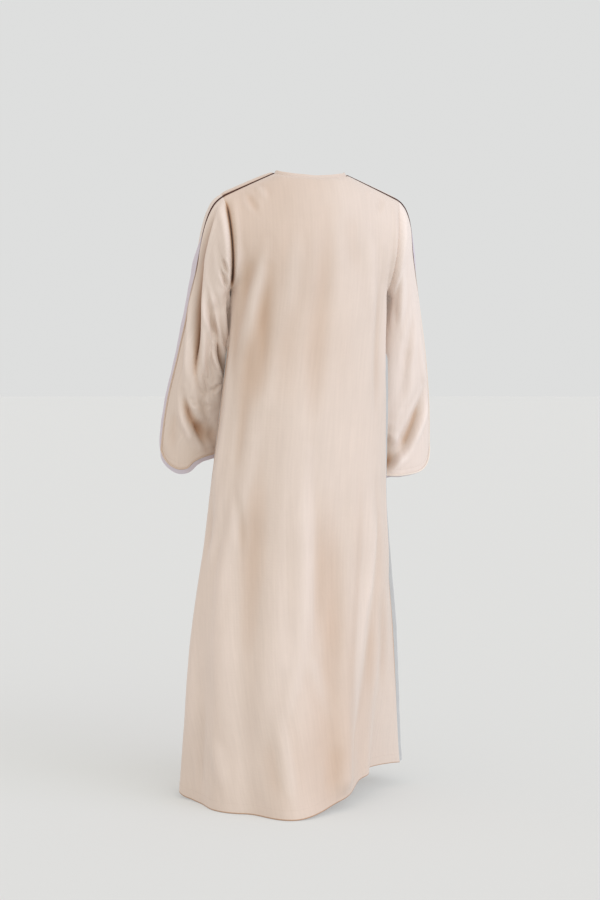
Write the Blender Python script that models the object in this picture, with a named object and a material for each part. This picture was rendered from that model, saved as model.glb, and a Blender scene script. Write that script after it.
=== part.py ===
"""Open-front abaya cloak, standing hollow as it is worn, one solid for each piece that is cut and sewn.

+Z is up, the front faces -Y and the wearer's left is +X. The origin lies between the shoulders, where the
wearer carries the cloak. Heights in the tables are above the floor that the back hem touches.
"""

import math

import bpy
import numpy as np

# Driving dimensions, in metres
ORIGIN_HEIGHT = 1.450
CLOTH = 0.0020
SEAM_GAP = 0.0003
ARMPIT_HEIGHT = 1.190
CORD_RADIUS = 0.0016
STRIP_WIDTH = 0.0125
STRIP_THICKNESS = 0.0016
BINDING_HEIGHT = 0.011
BINDING_TILT = math.radians(32.0)
FRONT_GAP_NECK = 0.004
FRONT_GAP_HEM = 0.020

# How finely the panels are divided
BACK_COLUMNS = 28
FRONT_COLUMNS = 10
BACK_SHOULDER_COLUMNS = 8
FRONT_SHOULDER_COLUMNS = 6
LOWER_ROWS = 20
ROW_POWER = 1.12
UPPER_ROWS = 9
SLEEVE_ROWS = 20
CORD_SIDES = 6
SHOULDER_CORD_ROWS = 5
SIDE_STRIP_ROWS = 19
BINDING_ROWS = 25

# Body sections: centre, half width, and reach of back and front from the centre
BODY_COLUMNS = ("height", "cx", "cy", "half_width", "back", "front", "left_seam", "right_seam")
BODY = (
    (0.000, 0.024, -0.050, 0.266, 0.220, 0.190, -8.0, 192.0),
    (0.150, 0.027, -0.035, 0.257, 0.200, 0.190, -11.0, 190.0),
    (0.350, 0.030, -0.018, 0.246, 0.178, 0.184, -14.0, 187.0),
    (0.650, 0.027, 0.000, 0.213, 0.150, 0.160, -15.0, 184.0),
    (0.930, 0.011, 0.008, 0.196, 0.130, 0.140, -12.0, 182.0),
    (1.100, 0.003, 0.008, 0.186, 0.126, 0.134, -5.0, 180.0),
    (1.190, 0.000, 0.004, 0.189, 0.128, 0.128, 0.0, 180.0),
)

# Body folds: where each crosses the hem and where it fades out, in degrees round from the wearer's left
FOLD_COLUMNS = ("hem_angle", "top_angle", "hem_height", "top_height", "half_angle", "depth", "power")
BODY_FOLDS = {
    "back_peak": (78.0, 66.0, 0.00, 0.62, 24.0, 0.064, 1.5),
    "back_shoulder": (46.0, 40.0, 0.00, 0.60, 26.0, 0.018, 1.2),
    "right_hollow": (133.0, 132.0, 0.00, 0.70, 36.0, -0.064, 1.0),
    "seam_hollow": (163.0, 162.0, 0.00, 0.62, 27.0, -0.074, 1.3),
    "seam_corner": (192.0, 187.0, 0.00, 0.80, 15.0, 0.016, 1.0),
    "left_side_hollow": (16.0, 22.0, 0.00, 0.85, 22.0, -0.014, 0.8),
    "centre_ridge": (84.0, 72.0, 0.20, 1.05, 15.0, 0.008, 0.5),
    "right_ridge": (106.0, 124.0, 0.05, 0.90, 13.0, 0.016, 0.6),
    "left_roll": (-2.0, 2.0, 0.00, 1.00, 11.0, 0.008, 0.7),
    "front_left_fold": (292.0, 300.0, 0.00, 0.95, 16.0, 0.022, 1.0),
    "front_left_hollow": (318.0, 322.0, 0.00, 0.85, 16.0, -0.014, 1.0),
    "front_right_fold": (246.0, 240.0, 0.00, 0.95, 16.0, 0.020, 1.0),
    "front_right_hollow": (222.0, 220.0, 0.00, 0.85, 14.0, -0.016, 1.0),
}

# How far the hem hangs above the floor round the body
HEM_LIFT_COLUMNS = ("angle", "lift")
HEM_LIFT = (
    (-60.0, 0.040), (-8.0, 0.001), (78.0, 0.001), (90.0, 0.009), (108.0, 0.025), (122.0, 0.031),
    (138.0, 0.042), (150.0, 0.042), (162.0, 0.038), (178.0, 0.043), (192.0, 0.045), (215.0, 0.058),
    (270.0, 0.055),
)
LIFT_FADES_AT = 0.35

# Shoulder and neck line
NECK_SIDE = (0.088, 0.018, 1.461)
SHOULDER_TIP = (0.214, 0.030, 1.404)
NECK_BACK = (0.070, 1.447)
NECK_FRONT = (-0.088, 1.395)
SHOULDER_RIDGE = 0.010
# How the cloth above the armpits curves over to the shoulders
YOKE_DROP_POWER = 0.80
YOKE_RISE_POWER = 0.94
YOKE_SIDE_POWER = 1.20
ARMHOLE_PULL_POWER = 1.6

# Armhole oval, as an upright ellipse leaning outwards at the top
ARMHOLE_CENTRE = (0.202, 0.003, 1.300)
ARMHOLE_HALF_HEIGHT = 0.112
ARMHOLE_HALF_DEPTH = 0.076
ARMHOLE_LEAN = 0.11
SEAM_SETBACK = 21.0

# Sleeve sections: overarm and underarm points, reach to back and front, seam set back, crispness of the edge
SLEEVE_COLUMNS = (
    "over_x", "over_y", "over_h", "under_x", "under_y", "under_h", "back", "front", "setback", "crisp",
)
SLEEVE = (
    (0.2340, -0.002, 1.390, 0.1980, -0.004, 1.178, 0.075, 0.074, 19.0, 1.00),
    (0.2490, -0.006, 1.350, 0.2000, -0.012, 1.164, 0.070, 0.072, 15.0, 1.05),
    (0.2610, -0.014, 1.280, 0.1980, -0.022, 1.138, 0.062, 0.072, 9.0, 1.15),
    (0.2770, -0.036, 1.165, 0.1900, -0.036, 1.078, 0.050, 0.068, 4.0, 1.35),
    (0.2960, -0.066, 1.050, 0.1825, -0.060, 0.992, 0.045, 0.062, 0.0, 1.50),
    (0.3180, -0.100, 0.930, 0.1770, -0.090, 0.898, 0.043, 0.058, 0.0, 1.60),
    (0.3290, -0.126, 0.812, 0.1740, -0.120, 0.812, 0.043, 0.054, 0.0, 1.60),
)
# Towards the cuff the underarm grows crisp, and each edge turns forwards (degrees) and spreads outwards
UNDER_CRISPNESS = 0.5
SLEEVE_TURN = {"left": 0.0, "right": 16.0}
SLEEVE_SPREAD = {"left": 0.0, "right": 0.026}
SLEEVE_TURN_FROM = 1.30
SLEEVE_TURN_WITHIN = 0.33
# The last sleeve section hangs below the cuff edge, which is cut out of it
CUFF_DROP = 0.085

# Cuff edge: height above the floor against the way across from overarm (0) to underarm (1)
CUFF_COLUMNS = ("across", "left", "right")
CUFF = (
    (0.00, 0.812, 0.812), (0.05, 0.792, 0.790), (0.14, 0.775, 0.768), (0.30, 0.766, 0.752),
    (0.45, 0.768, 0.746), (0.65, 0.780, 0.743), (1.00, 0.800, 0.745),
)
CUFF_FRONT_RISE = 0.006
SLEEVE_WIDTH = 0.150

# Sleeve folds on the back face: from one end to the other, as height and way across, half width and depth
SLEEVE_FOLD_COLUMNS = ("side", "height_a", "across_a", "height_b", "across_b", "half_width", "depth")
SLEEVE_FOLDS = {
    "left_long_trough": ("left", 1.14, 0.52, 0.84, 0.62, 0.020, -0.012),
    "left_elbow_fork": ("left", 1.00, 0.60, 0.83, 0.80, 0.018, -0.010),
    "left_outer_roll": ("left", 1.10, 0.24, 0.85, 0.30, 0.024, 0.006),
    "right_diagonal": ("right", 0.96, 0.24, 0.78, 0.78, 0.020, -0.014),
    "right_upper": ("right", 1.06, 0.62, 0.92, 0.70, 0.020, -0.007),
}

# Strips of flat edging stand out from the seams, turned by an angle from the front panel to the outside
STRIP_TAPER = 0.030
STRIP_START = 0.15
SLEEVE_STRIP_TOP = {"left": 1.330, "right": 1.372}
SIDE_STRIP_COLUMNS = ("height", "left", "right")
SIDE_STRIP = (
    (0.00, 14.0, 86.0),
    (0.30, 14.0, 74.0),
    (0.70, 12.0, 58.0),
    (1.00, 6.0, 40.0),
    (1.20, 6.0, 30.0),
)
SLEEVE_STRIP_TURN = math.radians(30.0)

SIDES = {"left": 1.0, "right": -1.0}

COLOURS = {
    "cloth": ((0.640, 0.545, 0.455), 0.62),
    "edging": ((0.620, 0.560, 0.640), 0.55),
    "cord": ((0.190, 0.085, 0.050), 0.50),
}


def column(table, names, wanted):
    return np.array([row[names.index(wanted)] for row in table], float)


def smooth(knots, values, at):
    """Cubic through the values at the knots, with no overshoot past a local extreme."""
    knots = np.asarray(knots, float)
    values = np.asarray(values, float)
    steps = np.diff(knots)
    slopes = np.diff(values) / steps
    tangents = np.zeros(len(knots))
    tangents[0], tangents[-1] = slopes[0], slopes[-1]
    for i in range(1, len(knots) - 1):
        if slopes[i - 1] * slopes[i] > 0.0:
            before, after = steps[i - 1] + 2 * steps[i], 2 * steps[i - 1] + steps[i]
            tangents[i] = (before + after) / (before / slopes[i] + after / slopes[i - 1])
    at = np.clip(at, knots[0], knots[-1])
    i = np.clip(np.searchsorted(knots, at, side="right") - 1, 0, len(knots) - 2)
    width = steps[i]
    t = (at - knots[i]) / width
    rest = 1.0 - t
    return (
        values[i] * (1 + 2 * t) * rest**2
        + tangents[i] * width * t * rest**2
        + values[i + 1] * t**2 * (3 - 2 * t)
        - tangents[i + 1] * width * t**2 * rest
    )


def ease(t):
    t = np.clip(t, 0.0, 1.0)
    return t * t * (3.0 - 2.0 * t)


def unit(v):
    return v / np.maximum(np.linalg.norm(v, axis=-1, keepdims=True), 1e-12)


def body_value(name, height):
    return smooth(column(BODY, BODY_COLUMNS, "height"), column(BODY, BODY_COLUMNS, name), height)


def fold_push(angle, height):
    """How far the folds push the body cloth outwards at an angle and a height."""
    push = np.zeros(np.broadcast(angle, height).shape)
    for row in BODY_FOLDS.values():
        fold = dict(zip(FOLD_COLUMNS, row))
        up = (height - fold["hem_height"]) / (fold["top_height"] - fold["hem_height"])
        centre = fold["hem_angle"] + (fold["top_angle"] - fold["hem_angle"]) * np.clip(up, 0.0, 1.0)
        off = np.abs((angle - centre + 180.0) % 360.0 - 180.0) / fold["half_angle"]
        across = 0.5 * (1.0 + np.cos(math.pi * np.clip(off, 0.0, 1.0)))
        along = np.clip(1.0 - np.maximum(up, 0.0), 0.0, 1.0) ** fold["power"]
        if fold["hem_height"] > 0.0:
            along = along * ease(height / fold["hem_height"])
        push += fold["depth"] * across * along * ease((1.0 - up) * 4.0)
    return push


def hem_lift(angle):
    angles = column(HEM_LIFT, HEM_LIFT_COLUMNS, "angle")
    lifts = column(HEM_LIFT, HEM_LIFT_COLUMNS, "lift")
    angles, lifts = np.append(angles, angles[0] + 360.0), np.append(lifts, lifts[0])
    return smooth(angles, lifts, (angle + 60.0) % 360.0 - 60.0)


def body_ring(angle, height):
    """Points of the outer body cloth at angles round from the wearer's left, at a height."""
    cx, cy = body_value("cx", height), body_value("cy", height)
    turn = np.radians(angle)
    across = body_value("half_width", height) * np.cos(turn)
    reach = np.where(np.sin(turn) > 0.0, body_value("back", height), body_value("front", height))
    out = np.stack([across, reach * np.sin(turn)], -1)
    out = out + unit(out) * fold_push(angle, height)[..., None]
    lift = hem_lift(angle) * np.clip(1.0 - height / LIFT_FADES_AT, 0.0, 1.0) ** 1.5
    return np.stack([cx + out[..., 0], cy + out[..., 1], height + lift], -1)


def armhole(turn, side):
    """A point of the armhole: 0 degrees at the top, going over to the back."""
    turn = np.radians(turn)
    up = ARMHOLE_HALF_HEIGHT * np.cos(turn)
    x = ARMHOLE_CENTRE[0] + ARMHOLE_LEAN * up
    y = ARMHOLE_CENTRE[1] + ARMHOLE_HALF_DEPTH * np.sin(turn)
    return np.stack([SIDES[side] * x, y + 0 * x, ARMHOLE_CENTRE[2] + up], -1)


def front_gap(height):
    return FRONT_GAP_HEM + (FRONT_GAP_NECK - FRONT_GAP_HEM) * np.clip(height / NECK_FRONT[1], 0.0, 1.0)


def panel_angles(panel, share, height):
    """Angles round the body at a share of a panel's width, from its first edge to its last."""
    left, right = body_value("left_seam", height), body_value("right_seam", height)
    opening = np.degrees(np.arcsin(front_gap(height) / body_value("half_width", height)))
    edges = {
        "back": (left, right),
        "front_left": (left, -90.0 + opening),
        "front_right": (right, 270.0 - opening),
    }
    first, last = edges[panel]
    return first + (last - first) * share


def top_line(panel, share):
    """The line that a panel's top edge follows: the shoulder seam and then the neck."""
    ends = np.array(SHOULDER_TIP), np.array(NECK_SIDE)
    if panel == "back":
        inward = 1.0 - np.abs(2.0 * share - 1.0)
        sign = np.where(share < 0.5, 1.0, -1.0)
        reach = 2 * BACK_SHOULDER_COLUMNS / BACK_COLUMNS
        middle = np.array([0.0, *NECK_BACK])
    else:
        inward = share
        sign = SIDES[panel.split("_")[1]]
        reach = FRONT_SHOULDER_COLUMNS / FRONT_COLUMNS
        middle = np.array([front_gap(NECK_FRONT[1]), *NECK_FRONT])
    along = np.clip(inward / reach, 0.0, 1.0)[..., None]
    shoulder = ends[0] + (ends[1] - ends[0]) * along
    round_neck = np.clip((inward - reach) / (1.0 - reach), 0.0, 1.0) * math.pi / 2
    neck = np.stack(
        [
            middle[0] + (ends[1][0] - middle[0]) * np.cos(round_neck),
            ends[1][1] + (middle[1] - ends[1][1]) * np.sin(round_neck),
            middle[2] + (ends[1][2] - middle[2]) * (1.0 - np.sin(round_neck)) ** 0.8,
        ],
        -1,
    )
    line = np.where((inward < reach)[..., None], shoulder, neck)
    line[..., 0] *= sign
    return line


def upper_row(panel, share, up):
    """A row of a panel between the armpit (0) and its top line (1)."""
    low = body_ring(panel_angles(panel, share, ARMPIT_HEIGHT), ARMPIT_HEIGHT)
    top = top_line(panel, share)
    quarter = up * math.pi / 2
    drop = math.cos(quarter) ** YOKE_DROP_POWER
    rise = math.sin(quarter) ** YOKE_RISE_POWER
    ridge = 0.0 if panel == "back" else SHOULDER_RIDGE * 4.0 * up**4 * (1.0 - up**4)
    row = np.stack(
        [
            low[..., 0] + (top[..., 0] - low[..., 0]) * up**YOKE_SIDE_POWER,
            top[..., 1] + (low[..., 1] - top[..., 1]) * drop,
            low[..., 2] + (top[..., 2] - low[..., 2]) * rise + ridge,
        ],
        -1,
    )
    if panel == "back":
        edges = {0: "left", -1: "right"}
        turn = 180.0 + (SEAM_SETBACK - 180.0) * up
    else:
        edges = {0: panel.split("_")[1]}
        turn = -180.0 + (SEAM_SETBACK + 180.0) * up
    for edge, side in edges.items():
        away = share if edge == 0 else 1.0 - share
        nearness = np.clip(1.0 - away * (2.0 if panel == "back" else 1.0), 0.0, 1.0) ** ARMHOLE_PULL_POWER
        row = row + nearness[..., None] * (armhole(turn, side) - row[edge])
    return row


def body_grid(panel, columns):
    """Outer points of a body panel, rows from the hem to the top, columns across."""
    share = np.linspace(0.0, 1.0, columns + 1)
    heights = ARMPIT_HEIGHT * np.linspace(0.0, 1.0, LOWER_ROWS + 1) ** ROW_POWER
    lower = [body_ring(panel_angles(panel, share, h), h) for h in heights]
    upper = [upper_row(panel, share, up) for up in np.linspace(0.0, 1.0, UPPER_ROWS + 1)[1:]]
    return np.array(lower + upper)


def turned_share(height):
    return ease((SLEEVE_TURN_FROM - height) / SLEEVE_TURN_WITHIN)


def sleeve_stations(side):
    """The sleeve's sections, the cuff's own last."""
    rows = [dict(zip(SLEEVE_COLUMNS, row)) for row in SLEEVE]
    last, before = rows[-1], rows[-2]
    below = dict(last)
    share = CUFF_DROP / (before["over_h"] - last["over_h"])
    for name in ("over_x", "over_y", "under_x", "under_y"):
        below[name] = last[name] + (last[name] - before[name]) * share * 0.4
    below["over_h"] = last["over_h"] - CUFF_DROP
    below["under_h"] = last["under_h"] - CUFF_DROP
    rows.append(below)
    for row in rows:
        row["over_x"] += SLEEVE_SPREAD[side] * float(turned_share(row["over_h"]))
    return rows


def sleeve_ring(row, turn, side):
    """Points of one sleeve section: 0 degrees at the overarm edge, going over to the back."""
    over = np.array([row["over_x"], row["over_y"], row["over_h"]])
    under = np.array([row["under_x"], row["under_y"], row["under_h"]])
    centre = (over + under) / 2
    half = np.linalg.norm(over - under) / 2
    along = unit(over - under)
    back = np.array([0.0, 1.0, 0.0])
    back = unit(back - along * (back @ along))
    turn = np.radians(turn)
    power = 1.0 + (row["crisp"] - 1.0) * ((1.0 + np.cos(turn)) + UNDER_CRISPNESS * (1.0 - np.cos(turn))) / 2
    depth = np.sign(np.sin(turn)) * np.abs(np.sin(turn)) ** power
    reach = np.where(depth > 0.0, row["back"], row["front"])
    offset = np.outer(np.cos(turn) * half, along) + np.outer(depth * reach, back)
    twist = math.radians(SLEEVE_TURN[side]) * float(turned_share(row["over_h"]))
    c, s = math.cos(twist), math.sin(twist)
    offset = offset @ np.array([[c, -s, 0.0], [s, c, 0.0], [0.0, 0.0, 1.0]])
    return (centre + offset) * np.array([SIDES[side], 1.0, 1.0])


def sleeve_turns(face, setback, share):
    """Angles round a sleeve section from the overarm seam (0) to the underarm (1)."""
    end = 180.0 if face == "back" else -180.0
    return setback + (end - setback) * share


def between(stations, at):
    """Catmull-Rom through stations of points, at a place along them."""
    count = len(stations)
    i = min(int(at), count - 2)
    t = at - i
    p = [stations[min(max(k, 0), count - 1)] for k in (i - 1, i, i + 1, i + 2)]
    return 0.5 * (
        2 * p[1]
        + (p[2] - p[0]) * t
        + (2 * p[0] - 5 * p[1] + 4 * p[2] - p[3]) * t**2
        + (3 * p[1] - p[0] - 3 * p[2] + p[3]) * t**3
    )


def segment_distance(point, a, b):
    """Distance in a plane from points to a segment, and how far along it they lie."""
    run = b - a
    t = np.clip(((point - a) @ run) / (run @ run), 0.0, 1.0)
    return np.linalg.norm(point - (a + t[..., None] * run), axis=-1), t


def sleeve_fold_push(side, height, across):
    push = np.zeros(height.shape)
    here = np.stack([height, across * SLEEVE_WIDTH], -1)
    for row in SLEEVE_FOLDS.values():
        fold = dict(zip(SLEEVE_FOLD_COLUMNS, row))
        if fold["side"] != side:
            continue
        a = np.array([fold["height_a"], fold["across_a"] * SLEEVE_WIDTH])
        b = np.array([fold["height_b"], fold["across_b"] * SLEEVE_WIDTH])
        off, along = segment_distance(here, a, b)
        shape = np.exp(-((off / fold["half_width"]) ** 2))
        push += fold["depth"] * shape * (0.4 + 0.6 * np.sin(math.pi * along))
    return push


def sleeve_grid(side, face, columns):
    """Outer points of one face of a sleeve, rows from armhole to cuff, columns from overarm to underarm."""
    share = np.linspace(0.0, 1.0, columns + 1)
    rows = sleeve_stations(side)
    stations = [armhole(sleeve_turns(face, SEAM_SETBACK, share), side)]
    stations += [sleeve_ring(row, sleeve_turns(face, row["setback"], share), side) for row in rows]
    across = (1.0 - np.cos(math.pi * share)) / 2
    cuff = smooth(column(CUFF, CUFF_COLUMNS, "across"), column(CUFF, CUFF_COLUMNS, side), across)
    if face == "front":
        cuff = cuff + CUFF_FRONT_RISE * np.sin(math.pi * share)
    last = len(stations) - 1
    fine = np.array([between(stations, at) for at in np.linspace(0.0, last, 40 * last + 1)])
    grid = np.zeros((SLEEVE_ROWS + 1, columns + 1, 3))
    spread = np.linspace(0.0, 1.0, SLEEVE_ROWS + 1)
    for j in range(columns + 1):
        line = fine[:, j]
        below = np.nonzero(line[:, 2] < cuff[j])[0][0]
        part = (line[below - 1, 2] - cuff[j]) / (line[below - 1, 2] - line[below, 2])
        edge = line[below - 1] + (line[below] - line[below - 1]) * part
        line = np.vstack([line[:below], edge])
        length = np.append(0.0, np.cumsum(np.linalg.norm(np.diff(line, axis=0), axis=1)))
        for axis in range(3):
            grid[:, j, axis] = np.interp(spread * length[-1], length, line[:, axis])
    if face == "back":
        normal = grid_normals(grid)
        towards_back = np.sign(normal[..., 1:2].mean())
        fade = (np.sin(math.pi * share) ** 0.5)[None, :, None]
        push = sleeve_fold_push(side, grid[..., 2], np.broadcast_to(across, grid.shape[:2]))
        grid = grid + normal * towards_back * push[..., None] * fade
    return grid


def grid_normals(grid):
    down = np.gradient(grid, axis=0)
    right = np.gradient(grid, axis=1)
    return unit(np.cross(down, right))


def inner_of(grid, inward):
    return grid + inward * CLOTH


def pulled(grid, edge_gaps):
    """The grid with its named edges drawn back along the cloth, so that neighbours stay apart."""
    grid = grid.copy()
    moves = {
        "first_row": (np.s_[0], np.s_[1]),
        "last_row": (np.s_[-1], np.s_[-2]),
        "first_column": (np.s_[:, 0], np.s_[:, 1]),
        "last_column": (np.s_[:, -1], np.s_[:, -2]),
    }
    for name, gap in edge_gaps.items():
        edge, inside = moves[name]
        grid[edge] = grid[edge] + unit(grid[inside] - grid[edge]) * gap
    return grid


def material(name):
    if name in bpy.data.materials:
        return bpy.data.materials[name]
    colour, roughness = COLOURS[name]
    made = bpy.data.materials.new(name)
    made.use_nodes = True
    shader = made.node_tree.nodes["Principled BSDF"]
    shader.inputs["Base Color"].default_value = (*colour, 1.0)
    shader.inputs["Roughness"].default_value = roughness
    shader.inputs["Metallic"].default_value = 0.0
    return made


def add_object(name, points, faces, slot):
    mesh = bpy.data.meshes.new(name)
    lowered = np.asarray(points) - np.array([0.0, 0.0, ORIGIN_HEIGHT])
    mesh.from_pydata([tuple(p) for p in lowered], [], faces)
    mesh.update()
    mesh.materials.append(material(slot))
    made = bpy.data.objects.new(name, mesh)
    bpy.context.scene.collection.objects.link(made)
    return made


def wall(name, outer, inner, slot="cloth"):
    """A closed wall between two grids of the same size."""
    rows, columns = outer.shape[:2]
    points = np.vstack([outer.reshape(-1, 3), inner.reshape(-1, 3)])
    count = rows * columns

    def at(i, j, layer):
        return layer * count + i * columns + j

    faces = []
    for i in range(rows - 1):
        for j in range(columns - 1):
            faces.append((at(i, j, 0), at(i, j + 1, 0), at(i + 1, j + 1, 0), at(i + 1, j, 0)))
            faces.append((at(i, j, 1), at(i + 1, j, 1), at(i + 1, j + 1, 1), at(i, j + 1, 1)))
    rim = [(0, j) for j in range(columns)] + [(i, columns - 1) for i in range(1, rows)]
    rim += [(rows - 1, j) for j in range(columns - 2, -1, -1)] + [(i, 0) for i in range(rows - 2, 0, -1)]
    for a, b in zip(rim, rim[1:] + rim[:1]):
        faces.append((at(*b, 0), at(*a, 0), at(*a, 1), at(*b, 1)))
    return add_object(name, points, outward(points, faces), slot)


def outward(points, faces):
    """The faces, turned round together if the solid they close is inside out."""
    volume = 0.0
    for face in faces:
        for k in range(1, len(face) - 1):
            a, b, c = points[face[0]], points[face[k]], points[face[k + 1]]
            volume += np.dot(a, np.cross(b, c))
    return faces if volume > 0.0 else [tuple(reversed(face)) for face in faces]


def swept(name, sections, slot):
    """A closed solid through sections of the same number of points."""
    count, around = sections.shape[:2]
    points = sections.reshape(-1, 3)
    faces = []
    for i in range(count - 1):
        for j in range(around):
            a, b = i * around + j, i * around + (j + 1) % around
            faces.append((a, b, b + around, a + around))
    faces.append(tuple(range(around - 1, -1, -1)))
    faces.append(tuple((count - 1) * around + j for j in range(around)))
    return add_object(name, points, outward(points, faces), slot)


def even(path, count):
    """A path of points spaced evenly along its length."""
    length = np.append(0.0, np.cumsum(np.linalg.norm(np.diff(path, axis=0), axis=1)))
    at = np.linspace(0.0, length[-1], count)
    return np.stack([np.interp(at, length, path[:, axis]) for axis in range(path.shape[1])], -1)


def cord(name, centre):
    """A round cord along a line of points."""
    tangent = unit(np.gradient(centre, axis=0))
    side = unit(np.cross(tangent, np.array([0.0, 1.0, 0.02])))
    over = np.cross(side, tangent)
    sections = []
    for k in range(CORD_SIDES):
        turn = 2 * math.pi * k / CORD_SIDES
        sections.append(centre + CORD_RADIUS * (math.cos(turn) * side + math.sin(turn) * over))
    return swept(name, np.stack(sections, 1), "cord")


def strip(name, root, out, normal, widths, slot="edging"):
    """A flat strip that stands out from a line of points."""
    half = STRIP_THICKNESS / 2
    tip = root + out * widths[:, None]
    lift = normal * half
    sections = np.stack([root - lift, root + lift, tip + lift, tip - lift], 1)
    return swept(name, sections, slot)


def shoulder_inward(side):
    """The way into the cloth at a shoulder seam, square to the seam."""
    run = unit(np.array(NECK_SIDE) - np.array(SHOULDER_TIP))
    down = np.array([0.0, 0.0, -1.0])
    return unit(down - run * (run @ down)) * np.array([SIDES[side], 1.0, 1.0])


def body_forms():
    """Each body panel's outer points, and the way into its cloth."""
    columns = {"back": BACK_COLUMNS, "front_left": FRONT_COLUMNS, "front_right": FRONT_COLUMNS}
    grids = {panel: body_grid(panel, count) for panel, count in columns.items()}
    inward = {}
    for panel, grid in grids.items():
        inward[panel] = grid_normals(grid)
        middle = grid[:, grid.shape[1] // 2]
        towards_axis = -middle * np.array([1.0, 1.0, 0.0])
        inward[panel] *= np.sign((inward[panel][:, grid.shape[1] // 2] * towards_axis).sum())
    for side, edge in (("left", 0), ("right", -1)):
        front = inward[f"front_{side}"]
        shared = unit(front[: LOWER_ROWS + 1, 0] + inward["back"][: LOWER_ROWS + 1, edge])
        front[: LOWER_ROWS + 1, 0] = shared
        inward["back"][: LOWER_ROWS + 1, edge] = shared
        square = shoulder_inward(side)
        front[-1, : FRONT_SHOULDER_COLUMNS + 1] = square
        seam = np.s_[: BACK_SHOULDER_COLUMNS + 1] if edge == 0 else np.s_[-BACK_SHOULDER_COLUMNS - 1 :]
        inward["back"][-1, seam] = square
    return grids, inward


def add_body_walls(grids, inward):
    for panel, outer in grids.items():
        inner = inner_of(outer, inward[panel])
        gaps = {"last_row": SEAM_GAP * 1.3, "first_column": SEAM_GAP}
        if panel == "back":
            gaps["last_column"] = SEAM_GAP
        wall(panel, pulled(outer, gaps), pulled(inner, gaps))


def share_armhole(side, body_inward, sleeve_inward):
    """Gives the body and the sleeve the same way into the cloth along the armhole."""
    edge = 0 if side == "left" else -1
    rows = np.s_[LOWER_ROWS:]
    front = body_inward[f"front_{side}"][rows, 0]
    back = body_inward["back"][rows, edge]
    sleeve = sleeve_inward[0]
    front_shared = unit(front + sleeve[: UPPER_ROWS + 1])
    back_shared = unit(back + sleeve[UPPER_ROWS:][::-1])
    for end in (0, -1):
        front_shared[end] = back_shared[end] = unit(front_shared[end] + back_shared[end])
    body_inward[f"front_{side}"][rows, 0] = front_shared
    body_inward["back"][rows, edge] = back_shared
    sleeve[: UPPER_ROWS + 1] = front_shared
    sleeve[UPPER_ROWS:] = back_shared[::-1]


def sleeve_form(side):
    """A sleeve's outer points from underarm over the front to underarm, and the way into its cloth."""
    faces = {face: sleeve_grid(side, face, UPPER_ROWS) for face in ("front", "back")}
    whole = np.concatenate([faces["front"][:, ::-1], faces["back"][:, 1:]], axis=1)
    doubled = np.concatenate([whole[:, -2:-1], whole, whole[:, 1:2]], axis=1)
    inward = grid_normals(doubled)[:, 1:-1]
    middle = whole.mean(axis=1, keepdims=True)
    inward = inward * np.sign(((middle - whole) * inward).sum(-1).mean())
    return whole, inward


def add_sleeve_walls(side, whole, inward):
    spans = {"front": (0, UPPER_ROWS), "back": (UPPER_ROWS, 2 * UPPER_ROWS)}
    for face, (a, b) in spans.items():
        outer = whole[:, a : b + 1]
        inner = inner_of(outer, inward[:, a : b + 1])
        gaps = {"first_row": SEAM_GAP * 1.6, "first_column": SEAM_GAP * 1.3, "last_column": SEAM_GAP * 1.3}
        wall(f"sleeve_{side}_{face}", pulled(outer, gaps), pulled(inner, gaps))


def plane_beside(seam, beside, outside):
    """Along a seam: the way into the cloth beside it, square to the seam, and that cloth's normal."""
    tangent = unit(np.gradient(seam, axis=0))
    way = beside - seam
    way = unit(way - tangent * (way * tangent).sum(-1, keepdims=True))
    normal = np.cross(tangent, way)
    return way, normal * np.sign((normal * outside).sum(-1, keepdims=True))


def lay_cord(name, seam, way, normal):
    """A cord on the cloth beside a seam."""
    off = CORD_RADIUS + SEAM_GAP
    cord(name, seam + way * (off + STRIP_THICKNESS / 2) + normal * (off + SEAM_GAP))


def lay_strip(name, seam, back, front, least_turn, widths):
    """A strip set in a seam: it carries on the back's plane, but stays this far turned from the front's."""
    way, normal = back
    front_way, front_normal = front
    cosine = (-way * front_way).sum(-1, keepdims=True)
    above = (-way * front_normal).sum(-1, keepdims=True)
    turn = np.maximum(least_turn[:, None] - np.arctan2(above, cosine), 0.0)
    out = -way * np.cos(turn) + normal * np.sin(turn)
    across = normal * np.cos(turn) + way * np.sin(turn)
    middle = unit(normal + front_normal)
    root = seam + out * SEAM_GAP
    low = root - across * STRIP_THICKNESS / 2 - seam
    short = 2 * SEAM_GAP - (low * front_normal).sum(-1, keepdims=True)
    lift = np.clip(short / np.maximum((middle * front_normal).sum(-1, keepdims=True), 0.3), 0.0, None)
    strip(name, root + middle * lift, out, across, widths)


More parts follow.
